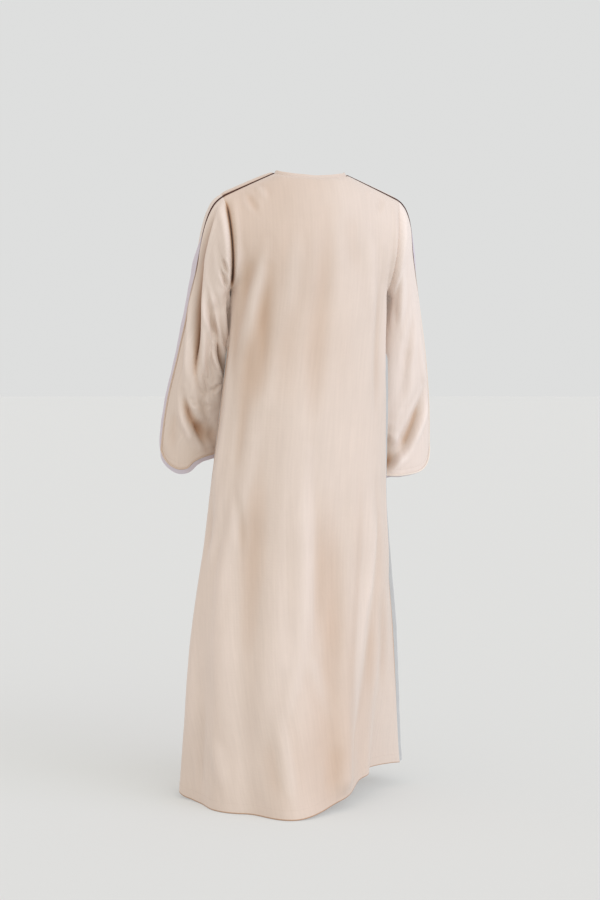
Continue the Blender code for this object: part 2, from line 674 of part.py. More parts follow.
def build_sleeve_trim(side, whole, inward):
    """The cord from neck to cuff along the overarm seam, and the flat edging outside it."""
    seam, cuff = whole[:, UPPER_ROWS], whole[-1, UPPER_ROWS:]
    path = np.vstack([seam, cuff[1:]])
    inside = np.vstack([whole[:, UPPER_ROWS + 1], whole[-2, UPPER_ROWS + 1 :]])
    front_inside = np.vstack([whole[:, UPPER_ROWS - 1], 2 * cuff[1:] - whole[-2, UPPER_ROWS + 1 :]])
    outside = -np.vstack([inward[:, UPPER_ROWS + 1], inward[-1, UPPER_ROWS + 1 :]])
    front_outside = -np.vstack([inward[:, UPPER_ROWS - 1], inward[-1, UPPER_ROWS + 1 :]])
    way, normal = plane_beside(path, inside, outside)
    front_way, front_normal = plane_beside(path, front_inside, front_outside)
    corner = len(seam) - 1
    way[corner] = unit(way[corner - 1] + way[corner + 1])
    normal[corner] = unit(normal[corner - 1] + normal[corner + 1])
    mirror = np.array([SIDES[side], 1.0, 1.0])
    shoulder = np.linspace(NECK_SIDE, SHOULDER_TIP, SHOULDER_CORD_ROWS)[:-1] * mirror
    square = -shoulder_inward(side)
    towards_back = np.array([0.0, 1.0, 0.0])
    towards_back = unit(towards_back - square * (towards_back @ square))
    count = len(shoulder)
    lay_cord(
        f"sleeve_cord_{side}",
        np.vstack([shoulder, path]),
        np.vstack([np.tile(towards_back, (count, 1)), way]),
        np.vstack([np.tile(square, (count, 1)), normal]),
    )
    start = np.nonzero(path[:, 2] < SLEEVE_STRIP_TOP[side])[0][0]
    kept = np.s_[start:]
    length = np.append(0.0, np.cumsum(np.linalg.norm(np.diff(path[kept], axis=0), axis=1)))
    widths = STRIP_WIDTH * (STRIP_START + (1.0 - STRIP_START) * ease(length / STRIP_TAPER))
    turn = np.full(len(length), SLEEVE_STRIP_TURN)
    turn[corner - start + 1 :] = 0.0
    lay_strip(
        f"sleeve_edging_{side}",
        path[kept],
        (way[kept], normal[kept]),
        (front_way[kept], front_normal[kept]),
        turn,
        widths,
    )


def build_side_trim(side, grids, inward):
    """The cord and the flat edging along a side seam."""
    edge, beside = (0, 1) if side == "left" else (-1, -2)
    rows = np.s_[:SIDE_STRIP_ROWS]
    seam = grids["back"][rows, edge]
    outside = -inward["back"][rows, edge]
    back = plane_beside(seam, grids["back"][rows, beside], outside)
    front = plane_beside(seam, grids[f"front_{side}"][rows, 1], outside)
    lay_cord(f"side_cord_{side}", seam, *back)
    heights = column(SIDE_STRIP, SIDE_STRIP_COLUMNS, "height")
    turn = np.radians(smooth(heights, column(SIDE_STRIP, SIDE_STRIP_COLUMNS, side), seam[:, 2]))
    grown = ease((seam[-1, 2] - seam[:, 2]) / STRIP_TAPER)
    widths = STRIP_WIDTH * (STRIP_START + (1.0 - STRIP_START) * grown)
    lay_strip(f"side_edging_{side}", seam, back, front, turn, widths)


def build_neck_binding(grids):
    left = grids["front_left"][-1, FRONT_SHOULDER_COLUMNS:][::-1]
    right = grids["front_right"][-1, FRONT_SHOULDER_COLUMNS:]
    back = grids["back"][-1, BACK_SHOULDER_COLUMNS : BACK_COLUMNS + 1 - BACK_SHOULDER_COLUMNS]
    edge = even(np.vstack([left, back[1:-1], right]), BINDING_ROWS)
    inwards = unit(-edge * np.array([1.0, 1.0, 0.0]))
    up = np.array([0.0, 0.0, 1.0])
    out = unit(up * math.cos(BINDING_TILT) + inwards * math.sin(BINDING_TILT))
    across = unit(up * math.sin(BINDING_TILT) - inwards * math.cos(BINDING_TILT))
    root = edge + out * 2 * SEAM_GAP - across * STRIP_THICKNESS / 2
    strip("neck_binding", root, out, across, np.full(len(edge), BINDING_HEIGHT), "cloth")


def main():
    for old in list(bpy.data.objects):
        bpy.data.objects.remove(old, do_unlink=True)
    grids, body_inward = body_forms()
    sleeves = {side: sleeve_form(side) for side in SIDES}
    for side, (_, sleeve_inward) in sleeves.items():
        share_armhole(side, body_inward, sleeve_inward)
    add_body_walls(grids, body_inward)
    build_neck_binding(grids)
    for side, (whole, sleeve_inward) in sleeves.items():
        add_sleeve_walls(side, whole, sleeve_inward)
        build_sleeve_trim(side, whole, sleeve_inward)
        build_side_trim(side, grids, body_inward)


main()
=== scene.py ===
import math

import bpy
import numpy as np
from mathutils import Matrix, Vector


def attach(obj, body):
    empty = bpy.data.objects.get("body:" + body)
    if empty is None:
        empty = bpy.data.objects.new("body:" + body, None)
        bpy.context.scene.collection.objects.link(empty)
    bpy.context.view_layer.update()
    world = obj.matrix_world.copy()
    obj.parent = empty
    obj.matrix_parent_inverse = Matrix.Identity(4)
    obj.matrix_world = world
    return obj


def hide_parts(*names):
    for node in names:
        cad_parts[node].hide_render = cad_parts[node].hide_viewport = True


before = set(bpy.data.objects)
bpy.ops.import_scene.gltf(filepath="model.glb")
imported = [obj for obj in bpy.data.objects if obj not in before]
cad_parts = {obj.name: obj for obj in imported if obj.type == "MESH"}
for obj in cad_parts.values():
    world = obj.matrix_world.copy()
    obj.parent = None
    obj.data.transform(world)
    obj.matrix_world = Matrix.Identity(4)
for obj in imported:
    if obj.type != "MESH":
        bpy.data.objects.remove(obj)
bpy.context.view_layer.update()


def numbers(text):
    """Rows of numbers, parted by semicolons."""
    return [[float(number) for number in row.split()] for row in text.split(";")]


def table(names, text):
    """Rows of numbers as named columns."""
    return dict(zip(names.split(), np.array(numbers(text)).T))


# ---- sizes, in metres, heights above the floor
ORIGIN_HEIGHT = 1.45
THICKNESS = 0.0011
ARMPIT_HEIGHT = 1.19
CORD_RADIUS = 0.0016
STRIP_WIDTH = 0.0125
STRIP_THICKNESS = 0.0011
BINDING_HEIGHT = 0.011
BINDING_TILT = math.radians(32)
FRONT_GAP_NECK = 0.004
FRONT_GAP_HEM = 0.02
SIDES = {"left": 1, "right": -1}
EDGE = {"left": 0, "right": -1}
UP = np.array([0.0, 0.0, 1.0])
LEVEL = np.array([1.0, 1.0, 0.0])

# How finely the cloth is made, and how many of its columns lie along a shoulder seam
BACK_COLUMNS = 147
FRONT_COLUMNS = 70
BACK_SHOULDER = 42
FRONT_SHOULDER = 42
LOWER_ROWS = 190
ROW_POWER = 1.12
UPPER_ROWS = 90
SLEEVE_ROWS = 220

# Colours, as linear light. A sleeve's cord changes colour along its length (metres from the neck), as
# painted shade and light.
CLOTH_COLOUR = (0.708, 0.588, 0.505)
EDGING_COLOUR = (0.66, 0.6, 0.66)
# The side edging is the sleeve edging's tape, painted darker and greyer as shade
SIDE_EDGING_SHADED_COLOUR = (0.52, 0.525, 0.52)
# Sleeve cords are tan, painted near black at the neck and dark brown on the shoulder as shade in the seam;
# the right's tan is painted paler as light
CORD_NECK = (0.055, 0.015, 0.01)
CORD_ARM = (0.11, 0.04, 0.026)
CORD_LOW = {"left": (0.6, 0.46, 0.36), "right": (0.8, 0.7, 0.61)}
CORD_SIDE = (0.58, 0.43, 0.33)
CORD_AT = (0.18, 0.3, 0.42)
CORD_REACH = 1.2
THREAD_DARK = (0.52, 0.43, 0.35)
THREAD_LIGHT = (0.66, 0.56, 0.47)

# Painted light and shade on the cloth's colour: below 0 painted shade, where a fold, tuck or seam sinks in;
# above 0 painted highlight, where the cloth stands out or the light falls
PAINTED_LIGHT_TONES = numbers("""
    -4 .15 .085 .055; -3 .42 .29 .21; -2 .62 .43 .3; -1 .825 .725 .635; 0 .97 .965 .96; 1 1.05 1.06 1.08;
    2 1.11 1.13 1.17; 3 1.17 1.21 1.27
""")
PAINTED_LIGHT_LOW, PAINTED_LIGHT_HIGH = PAINTED_LIGHT_TONES[0][0], PAINTED_LIGHT_TONES[-1][0]

# Camera: as far and as high as the photographer stood, turned to see the back and a little of the right
CAMERA_AZIMUTH = 165
CAMERA_DISTANCE = 4.2
CAMERA_HEIGHT = 1.007
CAMERA_LENS = 71.24
CAMERA_SENSOR = 36
CAMERA_SHIFT = (-8.3 / 900, -82 / 900)

# The floor gives off part of its light by itself, as bright as it is seen where nothing shades it
FLOOR_COLOUR = (0.7545, 0.754, 0.736)
FLOOR_GLOW = 0.45
FLOOR_SEEN = 0.9675
PAPER_TONES = ((0.3, 0.99), (0.7, 1.01))
FLOOR_RINGS = (0.5, 1, 2, 4, 8, 16, 32, 60)
FLOOR_SPOKES = 64
WORLD_COLOUR = (0.73, 0.735, 0.73)
WORLD_STRENGTH = 1
# Lights: name, the way each comes from (right, towards the camera, up), degrees wide, strength, colour
LIGHTS = (
    ("key", (1.15, 0.62, 0.62), 44, 0.9, (0.75, 0.76, 1)),
    ("front", (0.6, 1, 0.6), 50, 0.83, (0.9, 1, 0.98)),
    ("fill", (-1.2, 0.55, 0.35), 100, 0.45, (1, 0.7, 0.55)),
)

# The cut of what shows of each piece: (width, length) and area, in metres
FLAT = {
    "back": ((1.02, 1.56), 0.93),
    "front_left": ((0.46, 1.52), 0.42),
    "front_right": ((0.46, 1.52), 0.42),
    "sleeve_left_back": ((0.22, 0.66), 0.1),
    "sleeve_left_front": ((0.22, 0.66), 0.11),
    "sleeve_right_back": ((0.24, 0.66), 0.11),
    "sleeve_right_front": ((0.24, 0.66), 0.12),
}

# ---- the body
# Body sections: centre, half width, reach of back and front from it, and the side seams' angles
BODY = table("height cx cy half_width back front left_seam right_seam", """
    0 .024 -.05 .266 .22 .19 -8 192; .15 .027 -.035 .257 .2 .19 -11 190;
    .35 .03 -.018 .246 .178 .184 -14 187; .65 .027 0 .213 .15 .16 -15 184;
    .93 .011 .008 .196 .13 .14 -12 182; 1.1 .003 .008 .186 .126 .134 -5 180;
    1.19 0 .004 .189 .128 .128 0 180
""")
# Folds, in degrees round from the wearer's left: hem angle, top angle, hem height, top height, half angle,
# depth (negative is a hollow), power
BODY_FOLDS = numbers("""
    78 66 0 .62 24 .064 1.5; 46 40 0 .6 26 .018 1.2; 133 132 0 .7 36 -.064 1; 163 162 0 .62 27 -.074 1.3;
    192 187 0 .8 15 .016 1; 16 22 0 .85 22 -.014 .8; 84 72 .2 1.05 15 .008 .5; 106 124 .05 .9 13 .016 .6;
    -2 2 0 1 11 .008 .7; 292 300 0 .95 16 .022 1; 318 322 0 .85 16 -.014 1; 246 240 0 .95 16 .02 1;
    222 220 0 .85 14 -.016 1
""")
# How far the hem hangs above the floor round the body, once round
HEM_LIFT = table("angle lift", """
    -60 .04; -24 .032; -13 .027; -5 .015; 6 .004; 20 .001; 78 .001; 90 .009; 108 .027; 122 .037; 134 .048;
    146 .054; 160 .056; 172 .055; 180 .052; 192 .045; 215 .058; 270 .055; 300 .04
""")
LIFT_FADES_AT = 0.35
LIFT_POWER = 1.5

# Shoulder and neck line
NECK_SIDE = (0.088, 0.018, 1.461)
SHOULDER_TIP = (0.214, 0.03, 1.404)
NECK_BACK = (0.07, 1.447)
NECK_FRONT = (-0.088, 1.395)
NECK_POWER = 0.8
SHOULDER_RIDGE = 0.01
BACK_SHOULDER_REACH = 16 / 28
FRONT_SHOULDER_REACH = 0.6
# How the cloth above the armpits curves over to the shoulders
YOKE_DROP_POWER = 0.8
YOKE_RISE_POWER = 0.94
YOKE_SIDE_POWER = 1.2
ARMHOLE_PULL_POWER = 1.6

# Armhole, as an upright ellipse leaning outwards at the top; the seam sits back from its top by an angle
ARMHOLE_CENTRE = (0.202, 0.003, 1.3)
ARMHOLE_HALF_HEIGHT = 0.112
ARMHOLE_HALF_DEPTH = 0.076
ARMHOLE_LEAN = 0.11
SEAM_SETBACK = 21

# ---- the sleeves
# Sleeve sections: overarm and underarm points, reach to back and front, seam set back, crispness of the edge
SLEEVE = np.array(numbers("""
    .234 -.002 1.39 .198 -.004 1.178 .075 .074 19 1; .249 -.006 1.35 .2 -.012 1.164 .07 .072 15 1.05;
    .261 -.014 1.28 .198 -.022 1.138 .062 .072 9 1.15; .277 -.036 1.165 .19 -.036 1.078 .05 .068 4 1.35;
    .296 -.066 1.05 .1825 -.06 .992 .045 .062 0 1.5; .318 -.1 .93 .177 -.09 .898 .043 .058 0 1.6;
    .329 -.126 .812 .174 -.12 .812 .043 .054 0 1.6
"""))
# Towards the cuff the underarm grows crisp, and each edge turns forwards (degrees) and spreads outwards
UNDER_CRISPNESS = 0.5
SLEEVE_TURN = {"left": 0, "right": 16}
SLEEVE_SPREAD = {"left": 0, "right": 0.026}
SLEEVE_TURN_FROM = 1.3
SLEEVE_TURN_WITHIN = 0.33
# One more section hangs below the cuff edge, which is cut out of it; its points run on by this part
CUFF_DROP = 0.085
CUFF_RUN_ON = 0.4
STATION_STEPS = 60

# Cuff edge: height above the floor against the way across from overarm (0) to underarm (1)
CUFF = table("across left right", """
    0 .812 .812; .05 .792 .79; .14 .775 .768; .27 .766 .754; .37 .768 .749; .48 .785 .746; .65 .797 .743;
    1 .808 .745
""")
CUFF_FRONT_RISE = 0.006
SLEEVE_WIDTH = 0.15

# Sleeve folds on the back face: height and way across at one end and the other, half width and depth
SLEEVE_FOLDS = {
    "left": numbers("1.14 .52 .84 .62 .02 -.012; 1 .6 .83 .8 .018 -.01; 1.1 .24 .85 .3 .024 .006"),
    "right": numbers(".96 .24 .78 .78 .02 -.014; 1.06 .62 .92 .7 .02 -.007"),
}
SLEEVE_FOLD_END = 0.4

# ---- strips of flat edging
# Each starts this wide, as a share, and grows to its full width within its taper
STRIP_START = 0.15
SIDE_STRIP_TAPER = 0.03
SLEEVE_STRIP_TAPER = 0.09
STRIP_ROOT = 0.0006
STRIP_CLEAR = 0.0004
SLEEVE_STRIP_TOP = {"left": 1.33, "right": 1.372}
SIDE_STRIP_TOP = ARMPIT_HEIGHT * 0.9**ROW_POWER
# The least angle, in degrees, that each stands out from the front panel
SLEEVE_STRIP_TURN = 30
SIDE_STRIP_TURN = table("height left right", "0 14 86; .3 14 80; .7 12 84; 1 6 76; 1.2 6 50")
# How far each sleeve's is folded forwards, in degrees, down the seam and round the cuff
FOLDED_FORWARD = {"left": 0, "right": 75}
CUFF_FOLDED_FORWARD = {"left": 28, "right": 75}
FOLDED_FROM = 0.12
FOLDED_WITHIN = 0.1


# ---- curves and directions
def smooth(knots, values, at):
    """Cubic through the values at the knots, with no overshoot past a local extreme."""
    steps = np.diff(knots)
    slopes = np.diff(values) / steps
    tangents = np.zeros(len(knots))
    tangents[0], tangents[-1] = slopes[0], slopes[-1]
    for i in range(1, len(knots) - 1):
        if slopes[i - 1] * slopes[i] > 0:
            before, after = steps[i - 1] + 2 * steps[i], 2 * steps[i - 1] + steps[i]
            tangents[i] = (before + after) / (before / slopes[i] + after / slopes[i - 1])
    at = np.clip(at, knots[0], knots[-1])
    i = np.clip(np.searchsorted(knots, at, side="right") - 1, 0, len(knots) - 2)
    width = steps[i]
    t = (at - knots[i]) / width
    rest = 1 - t
    return (
        values[i] * (1 + 2 * t) * rest**2 + tangents[i] * width * t * rest**2
        + values[i + 1] * t**2 * (3 - 2 * t) - tangents[i + 1] * width * t**2 * rest
    )


def ease(t):
    t = np.clip(t, 0, 1)
    return t * t * (3 - 2 * t)


def bell(distance, width):
    return np.exp(-((distance / width) ** 2))


def unit(v):
    return v / np.maximum(np.linalg.norm(v, axis=-1, keepdims=True), 1e-12)


def dot(a, b):
    return (a * b).sum(-1, keepdims=True)


def square(v, axis):
    """The way of v, squared to a unit axis."""
    return unit(v - axis * dot(v, axis))


def heading(path):
    return unit(np.gradient(path, axis=0))


def lengths(path):
    """How far along a path each of its points lies."""
    return np.append(0.0, np.cumsum(np.linalg.norm(np.diff(path, axis=0), axis=1)))


def sampled(line, run, at):
    """The columns of a line at a place along it."""
    return np.stack([np.interp(at, run, values) for values in line.T], -1)


def even(path, spacing):
    """Points spaced evenly along a path; more columns than three ride along."""
    run = lengths(path[:, :3])
    return sampled(path, run, np.linspace(0, run[-1], max(int(run[-1] / spacing), 2)))


def catmull(p, t):
    """Catmull-Rom between the middle two of four points."""
    return 0.5 * (
        2 * p[1] + (p[2] - p[0]) * t + (2 * p[0] - 5 * p[1] + 4 * p[2] - p[3]) * t**2
        + (3 * p[1] - p[0] - 3 * p[2] + p[3]) * t**3
    )


def between(stations, at):
    """The curve through stations of points, at a place along them."""
    last = len(stations) - 1
    i = min(int(at), last - 1)
    return catmull([stations[min(max(k, 0), last)] for k in range(i - 1, i + 3)], at - i)


def rounded(points, each=6):
    """A smooth line through points."""
    points = np.array(points)
    ends = np.vstack([2 * points[0] - points[1], points, 2 * points[-1] - points[-2]])
    steps = np.linspace(0, 1, each, endpoint=False)
    line = [catmull(ends[i : i + 4], t) for i in range(len(points) - 1) for t in steps]
    return np.array(line + [points[-1]])


def segment_distance(point, a, b):
    """Distance from points to a segment, and how far along it they lie."""
    run = b - a
    t = np.clip(((point - a) @ run) / (run @ run), 0, 1)
    return np.linalg.norm(point - (a + t[..., None] * run), axis=-1), t


def grid_normals(grid):
    return unit(np.cross(np.gradient(grid, axis=0), np.gradient(grid, axis=1)))


def edge_distance(grid, edge):
    """How far each point is from an edge of its grid, measured along the cloth."""
    axis = 0 if edge.endswith("row") else 1
    steps = np.linalg.norm(np.diff(grid, axis=axis), axis=-1)
    run = np.cumsum(np.insert(steps, 0, 0, axis=axis), axis=axis)
    return run if edge.startswith("first") else np.take(run, [-1], axis=axis) - run


def blur_weights(reach, sharpness):
    """Offsets up to a reach each way, and the weight of each."""
    offsets = np.arange(-reach, reach + 1)
    weights = bell(offsets, reach / sharpness)
    return zip(offsets, weights / weights.sum())


def blurred(grid, reach, axis):
    """The grid with its points averaged over this many rows (axis 0) or columns (axis 1) each way."""
    at = np.arange(grid.shape[axis])
    out = np.zeros(grid.shape)
    for offset, weight in blur_weights(reach, 1.8):
        out += weight * np.take(grid, np.clip(at + offset, 0, at[-1]), axis=axis)
    return out


def eased_path(path, reach):
    """A path with its corners rounded over this many points each way, its ends kept."""
    padded = np.vstack([2 * path[0] - path[reach:0:-1], path, 2 * path[-1] - path[-2 : -reach - 2 : -1]])
    out = sum(w * padded[reach + o : reach + o + len(path)] for o, w in blur_weights(reach, 1.6))
    out[0], out[-1] = path[0], path[-1]
    return out


# ---- the form of the body
def body_value(name, height):
    return smooth(BODY["height"], BODY[name], height)


def fold_push(angle, height):
    """How far the folds push the body cloth outwards at an angle and a height."""
    push = np.zeros(np.broadcast(angle, height).shape)
    for hem_angle, top_angle, hem_height, top_height, half_angle, depth, power in BODY_FOLDS:
        up = (height - hem_height) / (top_height - hem_height)
        centre = hem_angle + (top_angle - hem_angle) * np.clip(up, 0, 1)
        off = np.abs((angle - centre + 180) % 360 - 180) / half_angle
        across = 0.5 * (1 + np.cos(math.pi * np.clip(off, 0, 1)))
        along = np.clip(1 - np.maximum(up, 0), 0, 1) ** power
        if hem_height > 0:
            along = along * ease(height / hem_height)
        push += depth * across * along * ease((1 - up) * 4)
    return push


def body_ring(angle, height):
    """Points of the outer body cloth at angles round from the wearer's left, at a height."""
    turn = np.radians(angle)
    reach = np.where(np.sin(turn) > 0, body_value("back", height), body_value("front", height))
    out = np.stack([body_value("half_width", height) * np.cos(turn), reach * np.sin(turn)], -1)
    out = out + unit(out) * fold_push(angle, height)[..., None]
    lift = smooth(HEM_LIFT["angle"], HEM_LIFT["lift"], (angle + 60) % 360 - 60)
    lift = lift * np.clip(1 - height / LIFT_FADES_AT, 0, 1) ** LIFT_POWER
    x, y = body_value("cx", height) + out[..., 0], body_value("cy", height) + out[..., 1]
    return np.stack([x, y, height + lift], -1)


def armhole(turn, side):
    """A point of the armhole: 0 degrees at the top, going over to the back."""
    turn = np.radians(turn)
    up = ARMHOLE_HALF_HEIGHT * np.cos(turn)
    x = ARMHOLE_CENTRE[0] + ARMHOLE_LEAN * up
    y = ARMHOLE_CENTRE[1] + ARMHOLE_HALF_DEPTH * np.sin(turn)
    return np.stack([SIDES[side] * x, y, ARMHOLE_CENTRE[2] + up], -1)


def front_gap(height):
    return FRONT_GAP_HEM + (FRONT_GAP_NECK - FRONT_GAP_HEM) * np.clip(height / NECK_FRONT[1], 0, 1)


def panel_angles(panel, share, height):
    """Angles round the body at a share of a panel's width, from its first edge to its last."""
    left, right = body_value("left_seam", height), body_value("right_seam", height)
    opening = np.degrees(np.arcsin(front_gap(height) / body_value("half_width", height)))
    first = right if panel == "front_right" else left
    last = {"back": right, "front_left": opening - 90, "front_right": 270 - opening}[panel]
    return first + (last - first) * share


def top_line(panel, share):
    """The line that a panel's top edge follows: the shoulder seam and then the neck."""
    tip, corner = np.array(SHOULDER_TIP), np.array(NECK_SIDE)
    if panel == "back":
        inward, reach, middle = 1 - np.abs(2 * share - 1), BACK_SHOULDER_REACH, (0, *NECK_BACK)
        sign = np.where(share < 0.5, 1, -1)
    else:
        inward, reach, middle = share, FRONT_SHOULDER_REACH, (front_gap(NECK_FRONT[1]), *NECK_FRONT)
        sign = SIDES[panel.split("_")[1]]
    shoulder = tip + (corner - tip) * np.clip(inward / reach, 0, 1)[..., None]
    turn = np.clip((inward - reach) / (1 - reach), 0, 1) * math.pi / 2
    neck = [
        middle[0] + (corner[0] - middle[0]) * np.cos(turn),
        corner[1] + (middle[1] - corner[1]) * np.sin(turn),
        middle[2] + (corner[2] - middle[2]) * (1 - np.sin(turn)) ** NECK_POWER,
    ]
    line = np.where((inward < reach)[..., None], shoulder, np.stack(neck, -1))
    line[..., 0] *= sign
    return line


def upper_row(panel, share, up):
    """A row of a panel between the armpit (0) and its top line (1)."""
    low = body_ring(panel_angles(panel, share, ARMPIT_HEIGHT), ARMPIT_HEIGHT)
    top = top_line(panel, share)
    quarter = up * math.pi / 2
    back = panel == "back"
    ridge = 0 if back else SHOULDER_RIDGE * 4 * up**4 * (1 - up**4)
    row = np.stack([
        low[..., 0] + (top[..., 0] - low[..., 0]) * up**YOKE_SIDE_POWER,
        top[..., 1] + (low[..., 1] - top[..., 1]) * math.cos(quarter) ** YOKE_DROP_POWER,
        low[..., 2] + (top[..., 2] - low[..., 2]) * math.sin(quarter) ** YOKE_RISE_POWER + ridge,
    ], -1)
    half = 180 if back else -180
    for edge, side in ((0, "left"), (-1, "right")) if back else ((0, panel.split("_")[1]),):
        away = share if edge == 0 else 1 - share
        nearness = np.clip(1 - away * (2 if back else 1), 0, 1) ** ARMHOLE_PULL_POWER
        row = row + nearness[..., None] * (armhole(half + (SEAM_SETBACK - half) * up, side) - row[edge])
    return row


def body_grid(panel, columns):
    """Outer points of a body panel, rows from the hem to the top, columns across."""
    share = np.linspace(0, 1, columns + 1)
    heights = ARMPIT_HEIGHT * np.linspace(0, 1, LOWER_ROWS + 1) ** ROW_POWER
    lower = [body_ring(panel_angles(panel, share, h), h) for h in heights]
    return np.array(lower + [upper_row(panel, share, up) for up in np.linspace(0, 1, UPPER_ROWS + 1)[1:]])


# ---- the form of the sleeves
def turned_share(height):
    return ease((SLEEVE_TURN_FROM - height) / SLEEVE_TURN_WITHIN)


def sleeve_sections(side):
    """The sleeve's sections, the one below the cuff edge last."""
    before, below = SLEEVE[-2], SLEEVE[-1].copy()
    sideways, upright = [0, 1, 3, 4], [2, 5]
    share = CUFF_DROP / (before[2] - below[2])
    below[sideways] += (below - before)[sideways] * share * CUFF_RUN_ON
    below[upright] -= CUFF_DROP
    rows = np.vstack([SLEEVE, below])
    rows[:, 0] += SLEEVE_SPREAD[side] * turned_share(rows[:, 2])
    return rows


def face_turns(face, setback, share):
    """Angles round a sleeve section from the overarm seam (0) to the underarm (1)."""
    end = 180 if face == "back" else -180
    return setback + (end - setback) * share


def sleeve_ring(row, face, share, side):
    """Points of one sleeve section, at shares of the way over a face from the overarm seam."""
    over, under, (back_reach, front_reach, setback, crisp) = row[:3], row[3:6], row[6:]
    half, along = np.linalg.norm(over - under) / 2, unit(over - under)
    back = np.array([0.0, 1.0, 0.0])
    back = unit(back - along * (back @ along))
    turn = np.radians(face_turns(face, setback, share))
    power = 1 + (crisp - 1) * ((1 + np.cos(turn)) + UNDER_CRISPNESS * (1 - np.cos(turn))) / 2
    depth = np.sign(np.sin(turn)) * np.abs(np.sin(turn)) ** power
    reach = np.where(depth > 0, back_reach, front_reach)
    offset = np.outer(np.cos(turn) * half, along) + np.outer(depth * reach, back)
    twist = math.radians(SLEEVE_TURN[side]) * float(turned_share(over[2]))
    c, s = math.cos(twist), math.sin(twist)
    return ((over + under) / 2 + offset @ np.array([[c, -s, 0], [s, c, 0], [0, 0, 1]])) * (SIDES[side], 1, 1)


def sleeve_fold_push(side, height, across):
    push = np.zeros(height.shape)
    here = np.stack([height, across * SLEEVE_WIDTH], -1)
    for *ends, half_width, depth in SLEEVE_FOLDS[side]:
        off, along = segment_distance(here, *(np.reshape(ends, (2, 2)) * (1, SLEEVE_WIDTH)))
        fade = SLEEVE_FOLD_END + (1 - SLEEVE_FOLD_END) * np.sin(math.pi * along)
        push += depth * bell(off, half_width) * fade
    return push


def sleeve_grid(side, face):
    """Outer points of one face of a sleeve, rows from armhole to cuff, columns from overarm to underarm."""
    share = np.linspace(0, 1, UPPER_ROWS + 1)
    stations = [armhole(face_turns(face, SEAM_SETBACK, share), side)]
    stations += [sleeve_ring(row, face, share, side) for row in sleeve_sections(side)]
    across = (1 - np.cos(math.pi * share)) / 2
    cuff = smooth(CUFF["across"], CUFF[side], across)
    if face == "front":
        cuff = cuff + CUFF_FRONT_RISE * np.sin(math.pi * share)
    last = len(stations) - 1
    fine = np.array([between(stations, at) for at in np.linspace(0, last, STATION_STEPS * last + 1)])
    spread = np.linspace(0, 1, SLEEVE_ROWS + 1)
    grid = np.zeros((SLEEVE_ROWS + 1, len(share), 3))
    for j, edge in enumerate(cuff):
        line = fine[:, j]
        below = np.nonzero(line[:, 2] < edge)[0][0]
        a, b = line[below - 1], line[below]
        line = np.vstack([line[:below], a + (b - a) * ((a[2] - edge) / (a[2] - b[2]))])
        run = lengths(line)
        grid[:, j] = sampled(line, run, spread * run[-1])
    if face == "back":
        normal = grid_normals(grid)
        push = sleeve_fold_push(side, grid[..., 2], np.broadcast_to(across, grid.shape[:2]))
        fade = (np.sin(math.pi * share) ** 0.5)[:, None]
        grid = grid + normal * np.sign(normal[..., 1:2].mean()) * push[..., None] * fade
    return grid


